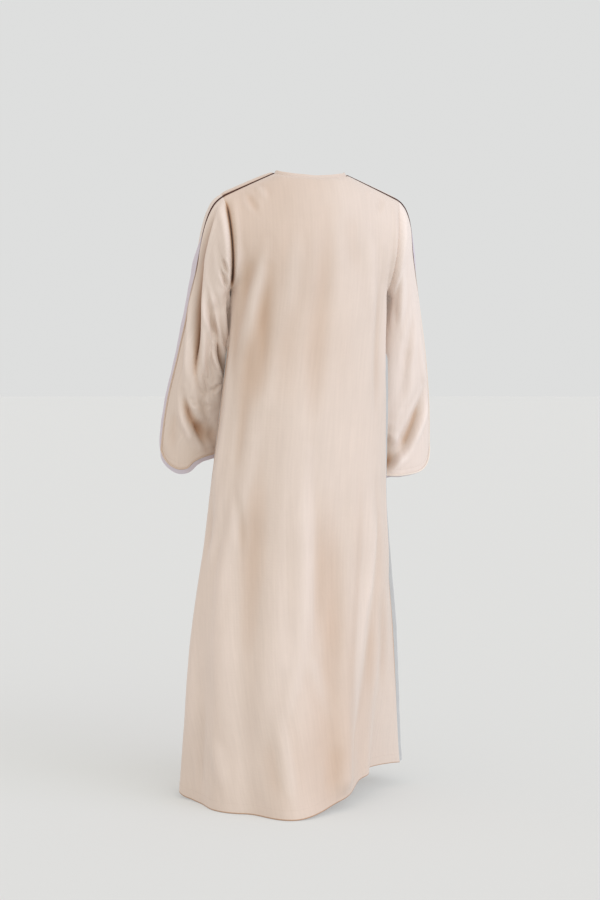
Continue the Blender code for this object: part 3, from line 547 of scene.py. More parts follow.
# ---- creases
# Each crease: half width, depth (negative is a trough), then its points as share across and place along.
# On the back and fronts the place is 0 at the hem, 1 at the armpits and 2 at the shoulders.
# On the sleeves it is 0 at the armhole and 1 at the cuff, and the share is 0 at the overarm seam.
CREASES = {
    "back": numbers("""
        .011 .0055 .05 .98 .075 .88 .118 .785 .125 .685 .132 .59 .139 .475;
        .015 -.0066 .161 .995 .196 .9 .229 .805 .236 .71 .232 .61 .218 .515;
        .013 .006 .246 1.3 .225 1.095 .204 .97 .182 .91 .186 .84;
        .016 -.0066 .268 1.135 .268 .975 .271 .91 .282 .825 .289 .725;
        .014 -.003 .171 1.295 .15 1.13 .121 .98; .008 .003 .054 1.545 .054 1.335 .1 1.005;
        .018 -.0022 .66 1.56 .64 1.3 .655 1.05; .013 .004 .745 1.42 .735 1.18 .76 .93;
        .014 -.005 .82 1.3 .812 1.08 .8 .86 .78 .72; .011 .004 .88 1.18 .872 .96 .85 .76;
        .009 -.0035 .94 1.42 .935 1.23 .9 1.04; .018 -.003 .52 1.48 .515 1.18 .5 .9 .505 .7;
        .015 .0025 .4 1.38 .385 1.15 .365 .92; .011 .003 .93 .76 .925 .56 .94 .36;
        .012 .003 .1 .33 .09 .2 .07 .07; .012 -.0035 .15 .24 .14 .12 .13 .006;
        .007 -.003 .12 1.86 .15 1.72 .19 1.56; .007 .0022 .18 1.88 .205 1.76 .235 1.62;
        .007 -.003 .88 1.86 .85 1.72 .815 1.58; .007 .002 .82 1.87 .795 1.76 .77 1.65;
        .012 .0045 .175 .65 .164 .58 .146 .505 .118 .425; .012 -.0026 .125 .59 .121 .53 .114 .48;
        .034 -.01 .337 .74 .332 .6 .328 .5 .33 .4 .33 .31 .322 .21 .312 .12;
        .017 .0062 .489 .69 .493 .595 .496 .51 .493 .415 .484 .32 .47 .24;
        .011 .0014 .47 .29 .45 .23 .428 .175; .013 .0018 .493 .32 .514 .27 .532 .22 .543 .17;
        .012 -.0022 .535 .6 .535 .5 .533 .4 .53 .32; .021 -.0045 .575 .6 .577 .5 .575 .4 .568 .3 .552 .21;
        .018 .0085 .735 .68 .743 .59 .746 .5 .738 .425 .707 .35 .679 .26 .654 .165 .61 .09;
        .008 .0022 .793 .58 .771 .51 .746 .415 .714 .345; .019 -.0034 .836 .44 .85 .36 .868 .27 .905 .17;
        .013 .0028 .418 .21 .423 .14 .429 .07 .44 .012; .015 .004 .225 .145 .243 .09 .268 .035;
        .009 -.0028 .229 .63 .271 .555 .293 .48; .014 -.0028 .775 .36 .764 .26 .75 .17;
        .014 .0034 .236 .65 .23 .54 .222 .43 .21 .32; .019 -.0022 .38 .17 .387 .1 .4 .025;
        .018 -.0022 .562 .13 .545 .07 .514 .02
    """),
    "front_left": numbers("""
        .017 .012 .105 1.09 .115 .99 .115 .92 .1 .85; .013 -.0055 .12 1.35 .19 1.15 .22 .93 .2 .76;
        .014 .0045 .26 1.42 .3 1.18 .31 .95 .3 .7; .015 -.0055 .42 1.25 .44 1 .43 .76 .44 .54;
        .014 .004 .62 1.15 .6 .86 .61 .6; .013 -.0045 .78 .98 .76 .72 .75 .5 .76 .33;
        .01 .003 .9 .86 .89 .62 .88 .42; .015 -.005 .24 .56 .23 .36 .22 .16;
        .013 .0045 .36 .46 .35 .26 .345 .06; .015 -.005 .53 .42 .54 .22 .55 .01;
        .012 .004 .68 .3 .69 .15 .7 .006; .008 -.003 .14 1.8 .18 1.62 .22 1.45;
        .009 -.0022 .4 1.88 .4 1.7 .38 1.54; .01 .003 .09 .9 .1 .74 .08 .56
    """),
    "front_right": numbers("""
        .013 -.0055 .11 1.32 .16 1.13 .185 .95 .2 .8; .013 .0045 .25 1.38 .28 1.2 .3 .9 .32 .66;
        .014 -.005 .4 1.2 .42 .96 .45 .72; .015 .004 .56 1.26 .57 .98 .56 .7 .57 .5;
        .013 -.004 .74 1.06 .73 .8 .74 .56; .011 .003 .88 .9 .88 .64 .87 .38;
        .014 -.005 .18 .6 .17 .42 .18 .2; .013 .0045 .33 .5 .32 .3 .33 .08;
        .014 -.0045 .48 .38 .49 .18 .485 .006; .013 .004 .66 .33 .65 .16 .655 .008;
        .012 -.0035 .8 .26 .81 .13 .8 .006; .008 -.0028 .15 1.78 .19 1.6 .21 1.48;
        .009 .002 .42 1.86 .43 1.68 .42 1.56
    """),
    "sleeve_left_back": numbers("""
        .0108 -.02 .1 .06 .117 .15 .108 .23 .133 .295 .2 .37 .283 .435 .35 .51 .383 .57 .433 .62 .533 .7;
        .0075 .005 .017 .335 .15 .435 .25 .54 .3 .635 .333 .71;
        .0095 -.015 .3 .69 .35 .735 .41 .78 .487 .838 .567 .91 .617 .965;
        .0055 .005 .275 .735 .36 .8 .427 .87 .478 .935; .004 .003 .433 .59 .517 .655 .6 .71;
        .005 .004 .5 .555 .567 .625 .617 .675; .0055 .0045 .3 .235 .45 .28 .567 .32 .683 .36 .833 .385;
        .005 .004 .33 .33 .44 .385 .56 .43 .633 .47; .0055 -.006 .35 .26 .45 .33 .567 .385 .683 .425;
        .0065 -.018 .583 .41 .65 .437 .75 .482 .85 .55; .0065 -.016 .867 .07 .883 .195 .95 .34;
        .0048 -.005 .6 .68 .65 .66 .7 .632 .775 .6; .014 -.01 .483 .8 .583 .865 .683 .915 .74 .945;
        .0065 -.003 .267 .075 .4 .095 .517 .11 .7 .09; .012 -.003 .25 .76 .233 .865 .267 .945;
        .0045 .004 .583 .46 .633 .505 .733 .55; .006 .0045 .483 .675 .583 .725 .683 .73;
        .0045 -.004 .383 .685 .433 .72 .5 .75;
        .0056 -.009 .133 .24 .175 .33 .258 .415 .325 .49 .378 .56 .4 .6;
        .0055 .005 .25 .275 .333 .35 .4 .45 .45 .535 .533 .625; .004 -.0075 .43 .08 .55 .062 .68 .045;
        .0042 -.007 .47 .12 .62 .088 .78 .06; .008 .005 .583 .68 .633 .735 .655 .8;
        .017 .011 .94 .01 .945 .13 .95 .27 .95 .38; .014 .008 .94 0 .945 .07 .95 .15;
        .0078 -.01 .085 .04 .105 .12 .112 .2 .118 .28
    """),
    "sleeve_right_back": numbers("""
        .012 -.015 .215 .68 .36 .74 .51 .84 .66 .92 .82 .985; .01 .002 .5 .445 .517 .62 .633 .69 .667 .85;
        .009 -.005 .383 .325 .5 .41 .583 .54; .008 .0035 .283 .44 .317 .555 .233 .715;
        .009 .0045 .2 .76 .367 .81 .517 .9; .008 .0035 .517 .045 .583 .16 .617 .31;
        .007 -.0025 .65 .03 .683 .14 .717 .275; .008 -.003 .117 .11 .1 .23 .117 .375;
        .017 -.025 .745 .78 .75 .87 .745 .94 .735 1
    """),
    "sleeve_left_front": numbers("""
        .009 -.0045 .2 .09 .28 .24 .33 .42; .009 .004 .4 .12 .46 .3 .47 .5;
        .008 -.006 .65 .1 .62 .28 .56 .46; .008 -.006 .82 .16 .76 .33 .64 .5;
        .011 -.006 .25 .56 .32 .7 .42 .86; .01 .0045 .45 .6 .52 .74 .56 .92;
        .01 -.005 .7 .64 .7 .78 .68 .95; .02 .011 .96 .01 .955 .13 .95 .27 .95 .38
    """),
    "sleeve_right_front": numbers("""
        .009 -.0045 .18 .08 .24 .26 .32 .4; .009 .004 .38 .14 .42 .3 .48 .48;
        .008 -.006 .62 .09 .6 .26 .54 .42; .008 -.0055 .83 .15 .78 .31 .68 .47;
        .011 -.0055 .3 .58 .36 .72 .4 .9; .01 .0045 .52 .56 .56 .72 .62 .88;
        .01 -.005 .74 .6 .73 .76 .76 .94
    """),
}
BODY_CREASE_POWER = 2
SLEEVE_CREASE_POWER = 1.6
CREASE_END = 0.12
END_FADE = 0.36
RIM_SHARE = 0.3
RIM_AT = 1.7
RIM_WIDTH = 0.8

# Slow wander of the cloth, its waves (metres across, times taller), and how it and creases die away at seams
WANDER = 0.002
BODY_WANDER_SIZE = (0.11, 3.4)
SLEEVE_WANDER = 0.7 * WANDER
SLEEVE_WANDER_SIZE = (0.07, 3)
WANDER_WAVES = 7
WANDER_SEED = {panel: seed for seed, panel in enumerate(FLAT, 11)}
SLEEVE_TAPE_SEED, SIDE_TAPE_SEED, BINDING_SEED = 31, 41, 51
EDGE_FADE = 0.016
SLEEVE_EDGE_FADE = 0.01
UNDERARM_FADE = 0.012

# Ditch along each seam, tuck and roll beside the armhole, and the folded edges with their stitches
SEAM_DITCH = 0.0011
SEAM_DITCH_WIDTH = 0.0035
ARMHOLE_TUCK = {"left": 0.0085, "right": 0.0065}
ARMHOLE_TUCK_WIDTH = 0.0085
FRONT_TUCK = 0.55
TUCK_ROLL = 0.38
TUCK_ROLL_AT = 0.019
TUCK_ROLL_WIDTH = 0.01
# The tuck deepens after one angle round the armhole and dies away before another: (angle, within)
TUCK_GROWS = (30, 28)
TUCK_FADES = (172, 36)
HEM_FOLD = 0.022
HEM_STEP = 0.0004
HEM_STEP_AT = 0.004
HEM_STEP_WIDTH = 0.003
CUFF_FOLD = 0.016
FRONT_FOLD = 0.03
STITCH_GROOVE = 0.0004
STITCH_GROOVE_WIDTH = 0.00192

# How far the bends at armpit height and below the neck corners are eased, in rows, columns and shares
SOFTEN_ROWS = 10
SOFTEN_ROWS_WIDTH = 14
SOFTEN_COLUMNS = 14
SOFTEN_EDGE = 0.1
SOFTEN_TOP = 0.22

# Painted light and shade of the cloth: creases this deep count as 1, painted shade in a trough and painted
# highlight on a ridge; painted shade along seams, tucks and the hem edge; painted light and shade by height
# and side on the body and down each sleeve
CREASE_PAINT_DEPTH = 0.01
# Painted shade on the hem's edge
HEM_PAINTED_SHADE = -3
# Painted shade along the armhole tucks, darkest on the left
TUCK_PAINTED_SHADE = {"left": 6.4, "right": 1.6}
TUCK_PAINTED_SHADE_WIDTH = 0.0045
# Painted shade just below the top edge: shoulder seams and neck
SHOULDER_PAINTED_SHADE = 4
SHOULDER_PAINTED_SHADE_AT = 0.003
SHOULDER_PAINTED_SHADE_WIDTH = 0.0024
# Painted light down each sleeve from armhole to cuff, much lighter on the lit right sleeve; then how
# strongly the sleeves' creases are painted
SLEEVE_PAINTED_LIGHT = {"left": (1.1, -0.15), "right": (2.9, 1.6)}
SLEEVE_CREASE_PAINT_GAIN = {"left": 1.15, "right": 1.9}
# Painted light and shade on the body by height, with more towards its left and right sides
BODY_PAINTED_LIGHT_WITHIN = 0.2
BODY_PAINTED_LIGHT = table("height all left right", """
    0 -.5 .65 .4; .13 -.75 1.1 .75; .35 -.4 1.3 .2; .55 -.22 .75 .2; .75 0 .45 .05; .88 0 .15 .15;
    1.05 -.3 -.18 .7; 1.45 -.3 -.18 1.1
""")


def panel_point(grid, share, place):
    """A point of a grid at a share across and a place along its rows, both as parts of one."""
    rows, columns = grid.shape[0] - 1, grid.shape[1] - 1
    i, j = min(int(place * rows), rows - 1), min(int(share * columns), columns - 1)
    u, v = place * rows - i, share * columns - j
    return (
        grid[i, j] * (1 - u) * (1 - v) + grid[i + 1, j] * u * (1 - v)
        + grid[i, j + 1] * (1 - u) * v + grid[i + 1, j + 1] * u * v
    )


def body_place(v):
    """The place along a body panel's rows of 0 at the hem, 1 at the armpits and 2 at the shoulders."""
    lower = LOWER_ROWS / (LOWER_ROWS + UPPER_ROWS)
    return lower * v ** (1 / ROW_POWER) if v <= 1 else lower + (1 - lower) * (v - 1)


def crease_push(name, grid):
    """How far the creases of a panel push each of its points outwards."""
    push = np.zeros(grid.shape[:2])
    sleeve = name.startswith("sleeve")
    power = SLEEVE_CREASE_POWER if sleeve else BODY_CREASE_POWER
    for width, depth, *at in CREASES[name]:
        places = at[1::2] if sleeve else map(body_place, at[1::2])
        line = rounded([panel_point(grid, share, place) for share, place in zip(at[::2], places)])
        run = lengths(line)
        near, along = np.full(push.shape, 1e9), np.zeros(push.shape)
        for k in range(len(line) - 1):
            off, t = segment_distance(grid, line[k], line[k + 1])
            closer = off < near
            near = np.where(closer, off, near)
            along = np.where(closer, run[k] + t * (run[k + 1] - run[k]), along)
        part = along / run[-1]
        fade = ease(part / END_FADE) * ease((1 - part) / END_FADE)
        fade = CREASE_END + (1 - CREASE_END) * fade
        reach = near / (width * (0.75 + 0.5 * fade))
        push += depth * fade * (np.exp(-(reach**power)) - RIM_SHARE * bell(reach - RIM_AT, RIM_WIDTH))
    return push


def drift(grid, seed, size, tall):
    """A slow, uneven wander between -1 and 1, with waves this long across and this many times taller."""
    out = np.zeros(grid.shape[:2])
    rng = np.random.default_rng(seed)
    x, y, z = grid[..., 0], grid[..., 1], grid[..., 2]
    across = np.arctan2(y, x) * np.hypot(x, y).mean()
    for _ in range(WANDER_WAVES):
        length = size * rng.uniform(0.6, 1.8)
        rise = size * tall * rng.uniform(0.6, 1.6)
        lean = rng.uniform(-0.6, 0.6)
        phase = rng.uniform(0, 2 * math.pi)
        out += np.sin(2 * math.pi * (across / length + lean * z / rise) + phase) * np.cos(
            2 * math.pi * z / rise + phase * 1.7
        )
    return out / WANDER_WAVES


# ---- forms and the way out of their cloth
def softened(grid):
    """A body grid with its bends at armpit height and below the neck corners eased, its edges kept."""
    row = np.arange(len(grid)) - LOWER_ROWS
    share = np.linspace(0, 1, grid.shape[1])
    across = ease(share / SOFTEN_EDGE) * ease((1 - share) / SOFTEN_EDGE)
    amount = np.outer(bell(row, SOFTEN_ROWS_WIDTH), across)[..., None]
    grid = grid + amount * (blurred(grid, SOFTEN_ROWS, 0) - grid)
    up = np.clip(row / UPPER_ROWS, 0, 1)
    amount = np.outer(ease(up / SOFTEN_EDGE) * ease((1 - up) / SOFTEN_TOP), across)[..., None]
    return grid + amount * (blurred(grid, SOFTEN_COLUMNS, 1) - grid)


def body_forms():
    """Each body panel's outer points, and the way out of its cloth."""
    grids, out = {}, {}
    for panel in ("back", "front_left", "front_right"):
        grid = softened(body_grid(panel, BACK_COLUMNS if panel == "back" else FRONT_COLUMNS))
        normal = grid_normals(grid)
        middle = np.s_[:, grid.shape[1] // 2]
        grids[panel] = grid
        out[panel] = normal * np.sign((normal[middle] * grid[middle] * LEVEL).sum())
    run = unit(np.array(NECK_SIDE) - np.array(SHOULDER_TIP))
    low = np.s_[: LOWER_ROWS + 1]
    for side, edge in EDGE.items():
        front, back = out[f"front_{side}"], out["back"]
        front[low, 0] = back[low, edge] = unit(front[low, 0] + back[low, edge])
        shoulder = np.s_[: BACK_SHOULDER + 1] if side == "left" else np.s_[-BACK_SHOULDER - 1 :]
        back[-1, shoulder] = unit(UP - run * (run @ UP)) * (SIDES[side], 1, 1)
        front[-1, : FRONT_SHOULDER + 1] = back[-1, edge]
    return grids, out


def sleeve_form(side):
    """A whole sleeve's outer points, from underarm over front and back, and the way out of its cloth."""
    front, back = sleeve_grid(side, "front"), sleeve_grid(side, "back")
    whole = np.concatenate([front[:, ::-1], back[:, 1:]], axis=1)
    doubled = np.concatenate([whole[:, -2:-1], whole, whole[:, 1:2]], axis=1)
    normal = grid_normals(doubled)[:, 1:-1]
    middle = whole.mean(axis=1, keepdims=True)
    return whole, normal * np.sign(((whole - middle) * normal).sum(-1).mean())


def share_armhole(side, body_out, sleeve_out):
    """Gives the body and the sleeve the same way out of the cloth along the armhole."""
    front_edge = body_out[f"front_{side}"][LOWER_ROWS:, 0]
    back_edge = body_out["back"][LOWER_ROWS:, EDGE[side]]
    sleeve = sleeve_out[0]
    front = unit(front_edge + sleeve[: UPPER_ROWS + 1])
    back = unit(back_edge + sleeve[UPPER_ROWS:][::-1])
    for end in (0, -1):
        front[end] = back[end] = unit(front[end] + back[end])
    front_edge[:], back_edge[:] = front, back
    sleeve[: UPPER_ROWS + 1], sleeve[UPPER_ROWS:] = front, back[::-1]


# ---- how far the cloth is pushed, and its painted light and shade
def ditch(distance):
    return SEAM_DITCH * bell(distance, SEAM_DITCH_WIDTH)


def groove(distance):
    return STITCH_GROOVE * bell(distance, STITCH_GROOVE_WIDTH)


def tuck_depth(side, turn, panel):
    """How deep the tuck beside the armhole is, by the turn round it from the top over the back."""
    (grows, within), (fades, before) = TUCK_GROWS, TUCK_FADES
    depth = ARMHOLE_TUCK[side] * ease((turn - grows) / within) * ease((fades - turn) / before)
    return depth * (1 if panel == "back" else FRONT_TUCK)


def add_tuck(push, painted_light, side, depth, distance):
    """Presses in the tuck at a distance from the armhole, with the soft roll beside it, and paints shade
    along the tuck.
    """
    push -= depth * bell(distance, ARMHOLE_TUCK_WIDTH)
    push += TUCK_ROLL * depth * bell(distance - TUCK_ROLL_AT, TUCK_ROLL_WIDTH)
    # Painted shade along the tuck
    painted_light -= TUCK_PAINTED_SHADE[side] * (depth / ARMHOLE_TUCK[side]) * bell(distance, TUCK_PAINTED_SHADE_WIDTH)


def body_push(panel, grid):
    """How far a body panel's points move outwards (creases, wander, seams, folded edges) and their painted
    light and shade.
    """
    back = panel == "back"
    sides = ("left", "right") if back else (panel.split("_")[1],)
    creases = crease_push(panel, grid)
    # Painted shade and highlight from the creases, and painted light and shade by height and side
    tone, left, right = (np.interp(grid[..., 2], BODY_PAINTED_LIGHT["height"], BODY_PAINTED_LIGHT[n]) for n in ("all", *SIDES))
    way = np.clip(grid[..., 0] / BODY_PAINTED_LIGHT_WITHIN, -1, 1)
    painted_light = creases / CREASE_PAINT_DEPTH + tone + left * np.maximum(way, 0) + right * np.maximum(-way, 0)
    push = creases + WANDER * drift(grid, WANDER_SEED[panel], *BODY_WANDER_SIZE)
    seams = {side: edge_distance(grid, edge) for side, edge in zip(sides, ("first_column", "last_column"))}
    top = edge_distance(grid, "last_row")
    for distance in (*seams.values(), top):
        push *= ease(distance / EDGE_FADE)
    up = np.clip((np.arange(len(grid)) - LOWER_ROWS) / UPPER_ROWS, 0, 1)[:, None]
    for side, distance in seams.items():
        push -= ditch(distance)
        add_tuck(push, painted_light, side, tuck_depth(side, 180 + (SEAM_SETBACK - 180) * up, panel), distance)
    push -= ditch(top)
    # Painted shade just below the top edge: shoulder seams and neck
    painted_light -= SHOULDER_PAINTED_SHADE * bell(top - SHOULDER_PAINTED_SHADE_AT, SHOULDER_PAINTED_SHADE_WIDTH)
    hem = edge_distance(grid, "first_row")
    push -= groove(hem - HEM_FOLD)
    push += HEM_STEP * ease((HEM_FOLD + HEM_STEP_AT - hem) / HEM_STEP_WIDTH)
    if not back:
        push -= groove(edge_distance(grid, "last_column") - FRONT_FOLD)
    # Painted shade on the hem's edge row
    painted_light[0] = HEM_PAINTED_SHADE
    return push, np.clip(painted_light, PAINTED_LIGHT_LOW, PAINTED_LIGHT_HIGH)


def sleeve_push(side, face, grid):
    """The same for one face of a sleeve; the front's columns run from the underarm to the overarm."""
    name = f"sleeve_{side}_{face}"
    step = -1 if face == "front" else 1
    creases = crease_push(name, grid[:, ::step])[:, ::step]
    push = creases + SLEEVE_WANDER * drift(grid, WANDER_SEED[name], *SLEEVE_WANDER_SIZE)
    first, *sides = (edge_distance(grid, edge) for edge in ("first_row", "first_column", "last_column"))
    for distance in (first, *sides):
        push *= ease(distance / SLEEVE_EDGE_FADE)
    overarm, underarm = sides[::step]
    push -= ditch(overarm)
    push -= ditch(underarm) * ease(first / UNDERARM_FADE)
    push -= ditch(first)
    share = np.linspace(0, 1, grid.shape[1])[::step]
    # Painted shade and highlight from the creases, and painted light down the sleeve
    painted_light = SLEEVE_CREASE_PAINT_GAIN[side] * creases / CREASE_PAINT_DEPTH + np.linspace(*SLEEVE_PAINTED_LIGHT[side], len(grid))[:, None]
    add_tuck(push, painted_light, side, tuck_depth(side, SEAM_SETBACK + (180 - SEAM_SETBACK) * share, face), first)
    push -= groove(edge_distance(grid, "last_row") - CUFF_FOLD)
    return push, np.clip(painted_light, PAINTED_LIGHT_LOW, PAINTED_LIGHT_HIGH)


# ---- meshes
# How finely cords, tapes and stitches are made; a tape's wave has these lengths, a stitch this size
CORD_RING = 0.0012
CORD_POINTS = 12
CORD_PITCH = 0.0075
CORD_STRANDS = 3
CORD_CLEAR = 0.0006
CORD_RAISED = 0.85
# How much its strands swell it, how thin its ends are and how much they grow on the way in
CORD_SWELL = 0.25
CORD_SWELL_POWER = 0.7
CORD_END = 0.55
CORD_GROWTH = 0.45
CORD_TAPER = 0.002
CORD_EASED = 5
TAPE_RING = 0.0035
TAPE_EASED = 3
TAPE_WAVE = 0.0009
TAPE_WAVE_LENGTHS = (0.047, 0.083, 0.19)
# A tape's section: places across it as shares, and its thickness there
TAPE_SHARES = np.array([0, 0.07, 0.16, 0.4, 0.66, 0.88, 0.96, 1])
TAPE_THICKNESS = STRIP_THICKNESS * np.array([1, 1, 0.72, 0.95, 0.98, 1.05, 0.85, 0.35])
STITCH_PITCH = 0.0032
STITCH_LENGTH = 0.0023
STITCH_WIDTH = 0.0005
STITCH_CORNERS = ((-0.5, 0, -0.1), (0, -0.5, 0), (0, 0, 0.9), (0, 0.5, 0), (0.5, 0, -0.1), (0, 0, -0.6))
STITCH_FACES = ((2, 1, 0), (3, 2, 0), (5, 3, 0), (1, 5, 0), (1, 2, 4), (2, 3, 4), (3, 5, 4), (5, 1, 4))


def mesh_object(name, points, faces, uv, paint, painted_light=None, sharp=50):
    """A piece from points, faces and a place on the cloth in metres for each point."""
    mesh = bpy.data.meshes.new(name)
    mesh.from_pydata(points - ORIGIN_HEIGHT * UP, [], faces.tolist())
    layer = mesh.uv_layers.new(name="cloth_metres")
    layer.data.foreach_set("uv", np.asarray(uv, np.float32)[faces.ravel()].ravel())
    # Painted light and shade of each point, for the cloth's material
    if painted_light is not None:
        painted_light_values = mesh.attributes.new("painted_light", "FLOAT", "POINT")
        painted_light_values.data.foreach_set("value", np.asarray(painted_light, np.float32))
    mesh.validate()
    mesh.polygons.foreach_set("use_smooth", np.ones(len(mesh.polygons), bool))
    mesh.set_sharp_from_angle(angle=math.radians(sharp))
    mesh.materials.append(paint)
    made = bpy.data.objects.new(name, mesh)
    bpy.context.scene.collection.objects.link(made)
    return made


def placed(piece, node, slot, **sheet):
    """Gives a piece its body and hides the node it replaces; its slot and sheet are not used."""
    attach(piece, "root")
    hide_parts(node)


def closed_faces(rows, columns):
    """Quads that close an outer and an inner grid of the same size into one skin."""
    count = rows * columns
    index = np.arange(count).reshape(rows, columns)
    a, b, c, d = index[:-1, :-1], index[:-1, 1:], index[1:, 1:], index[1:, :-1]
    outer = np.stack([a, b, c, d], -1).reshape(-1, 4)
    inner = np.stack([a, d, c, b], -1).reshape(-1, 4) + count
    rim = np.concatenate([index[0], index[1:, -1], index[-1, -2::-1], index[-2:0:-1, 0]])
    after = np.roll(rim, -1)
    return np.vstack([outer, inner, np.stack([after, rim, rim + count, after + count], -1)])


def shell(name, outer, inner, paint, painted_light=None):
    """A closed skin between two grids; its places on the cloth run from the middle and the first row."""
    rows, columns = outer.shape[:2]
    faces = closed_faces(rows, columns)
    i, j = rows // 2, columns // 2
    middle = outer[i, j]
    if np.dot(np.cross(outer[i, j + 1] - middle, outer[i + 1, j] - middle), middle - inner[i, j]) < 0:
        faces = faces[:, ::-1]
    across = edge_distance(outer, "first_column")
    uv = np.stack([across - across[:, j][:, None], edge_distance(outer, "first_row")], -1).reshape(-1, 2)
    points = np.vstack([outer.reshape(-1, 3), inner.reshape(-1, 3)])
    painted_light = None if painted_light is None else np.tile(painted_light.ravel(), 2)
    return mesh_object(name, points, faces, np.tile(uv, (2, 1)), paint, painted_light)


def cloth_piece(panel, outer, inner, painted_light):
    (flat, area), name = FLAT[panel], f"{panel}_cloth"
    placed(shell(name, outer, inner, cloth, painted_light), panel, "cloth", flat=flat, area=area)


def cord_piece(node, rows, paint):
    """A laid cord of three strands beside a seam, from rows of place, way along the cloth and way out."""
    rows = eased_path(even(rows, CORD_RING), CORD_EASED)
    place, way, normal = rows[:, :3], rows[:, 3:6], rows[:, 6:9]
    tangent = heading(place)
    way = square(way, tangent)
    normal = square(normal - tangent * dot(normal, tangent), way)
    centre = place + way * (CORD_RADIUS + CORD_CLEAR) + normal * (CORD_RADIUS * CORD_RAISED)
    run = lengths(centre)
    turn = np.linspace(0, 2 * math.pi, CORD_POINTS, endpoint=False)[None, :]
    strands = np.abs(np.cos(CORD_STRANDS / 2 * (turn - 2 * math.pi * run[:, None] / CORD_PITCH)))
    radius = CORD_RADIUS * (1 + CORD_SWELL * strands**CORD_SWELL_POWER)
    from_end = np.minimum(run, run[-1] - run)[:, None]
    radius = radius * (CORD_END + CORD_GROWTH * np.minimum(1, from_end / CORD_TAPER))
    ring = centre[:, None, :] + (radius * np.cos(turn))[..., None] * way[:, None, :]
    ring = ring + (radius * np.sin(turn))[..., None] * normal[:, None, :]
    count, around = ring.shape[:2]
    index = np.arange(count * around).reshape(count, around)
    a, b = index[:-1], np.roll(index, -1, axis=1)[:-1]
    faces = np.stack([a, b, b + around, a + around], -1).reshape(-1, 4)
    points = np.vstack([ring.reshape(-1, 3), centre[0], centre[-1]])
    first, last, base = count * around, count * around + 1, (count - 1) * around
    caps = []
    for k in range(0, around, 2):
        m, n = k + 1, (k + 2) % around
        caps += [(first, n, m, k), (last, base + k, base + m, base + n)]
    faces = np.vstack([faces, caps])
    p, q, r = (points[faces[:, k]] for k in range(3))
    if np.einsum("ij,ij->i", p, np.cross(q, r)).sum() < 0:
        faces = faces[:, ::-1]
    uv = np.stack([np.tile(turn * CORD_RADIUS, (count, 1)), np.repeat(run[:, None], around, 1)], -1)
    uv = np.vstack([uv.reshape(-1, 2), [(0, 0), (0, run[-1])]])
    placed(mesh_object(f"{node}_laid", points, faces, uv, paint, sharp=80), node, "cord")


def flat_tape(name, rows, outs, widths, paint, seed):
    """A folded tape that stands out from a seam along its own way out."""
    rows = eased_path(even(np.hstack([rows, outs, widths[:, None]]), TAPE_RING), TAPE_EASED)
    place, normal, out, width = rows[:, :3], rows[:, 6:9], rows[:, 9:12], rows[:, 12:]
    tangent = heading(place)
    out = square(out, tangent)
    across = np.cross(tangent, out)
    across = across * np.sign(dot(across, normal).sum())
    run = lengths(place)
    rng = np.random.default_rng(seed)
    waves = (np.sin(2 * math.pi * run / length + rng.uniform(0, 6)) for length in TAPE_WAVE_LENGTHS)
    wave = sum(waves) / len(TAPE_WAVE_LENGTHS)
    base = place[:, None, :] + out[:, None, :] * (STRIP_CLEAR + width * TAPE_SHARES)[..., None]
    base = base + across[:, None, :] * (TAPE_WAVE * wave[:, None] * TAPE_SHARES**2)[..., None]
    half = across[:, None, :] * (TAPE_THICKNESS / 2)[:, None]
    return shell(name, base + half, base - half, paint)


def tape_piece(node, strip, grown, run, paint, seed):
    """A tape from its rows and ways out, wide where it has grown, for a seam of this run."""
    widths = STRIP_WIDTH * (STRIP_START + (1 - STRIP_START) * grown)
    piece = flat_tape(f"{node}_tape", *strip, widths, paint, seed)
    placed(piece, node, "edging", flat=(STRIP_WIDTH, float(run[-1])))


def sew(name, grid, normal, edge, distance):
    """A row of small raised stitches this far from one edge of a panel."""
    away, both = edge_distance(grid, edge), np.concatenate([grid, normal], -1)
    if edge.endswith("column"):
        away, both = away.T, both.transpose(1, 0, 2)
    if away[0].mean() > away[-1].mean():
        away, both = away[::-1], both[::-1]
    line = np.array([sampled(both[:, j], away[:, j], distance) for j in range(away.shape[1])])
    rows = even(np.hstack([line[:, :3], unit(line[:, 3:])]), STITCH_PITCH)
    place = rows[:, :3]
    tangent = heading(place)
    side = unit(np.cross(tangent, unit(rows[:, 3:])))
    up = np.cross(side, tangent)
    points = np.stack([
        place + tangent * STITCH_LENGTH * a + side * STITCH_WIDTH * b + up * STITCH_WIDTH * c
        for a, b, c in STITCH_CORNERS
    ], 1).reshape(-1, 3)
    faces = np.array(STITCH_FACES) + len(STITCH_CORNERS) * np.arange(len(place))[:, None, None]
    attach(mesh_object(name, points, faces.reshape(-1, 3), points[:, :2], thread, sharp=180), "root")


def seam_planes(path, inside, outside):
    """Along a seam: the way into the cloth beside it, square to the seam, and that cloth's way out."""
    tangent = heading(path)
    way = square(inside - path, tangent)
    normal = np.cross(tangent, way)
    return way, normal * np.sign(dot(normal, outside))


def strip_rows(seam, back, front, least_turn, folded=0.0):
    """Where a strip set in a seam starts, and its way out.

    It lies on the back's plane but stays turned from the front's, and is folded forwards by a further angle.
    """
    (way, normal), (front_way, front_normal) = back, front
    turn = np.radians(least_turn)[:, None] - np.arctan2(dot(-way, front_normal), dot(-way, front_way))
    turn = np.maximum(turn, 0) - np.reshape(np.radians(folded), (-1, 1))
    out = -way * np.cos(turn) + normal * np.sin(turn)
    across = normal * np.cos(turn) + way * np.sin(turn)
    middle = unit(normal + front_normal)
    root = seam - out * STRIP_ROOT
    short = STRIP_CLEAR - dot(root - across * STRIP_THICKNESS / 2 - seam, front_normal)
    lift = np.clip(short / np.maximum(dot(middle, front_normal), 0.3), 0, None)
    return np.hstack([root + middle * lift, way, across]), out


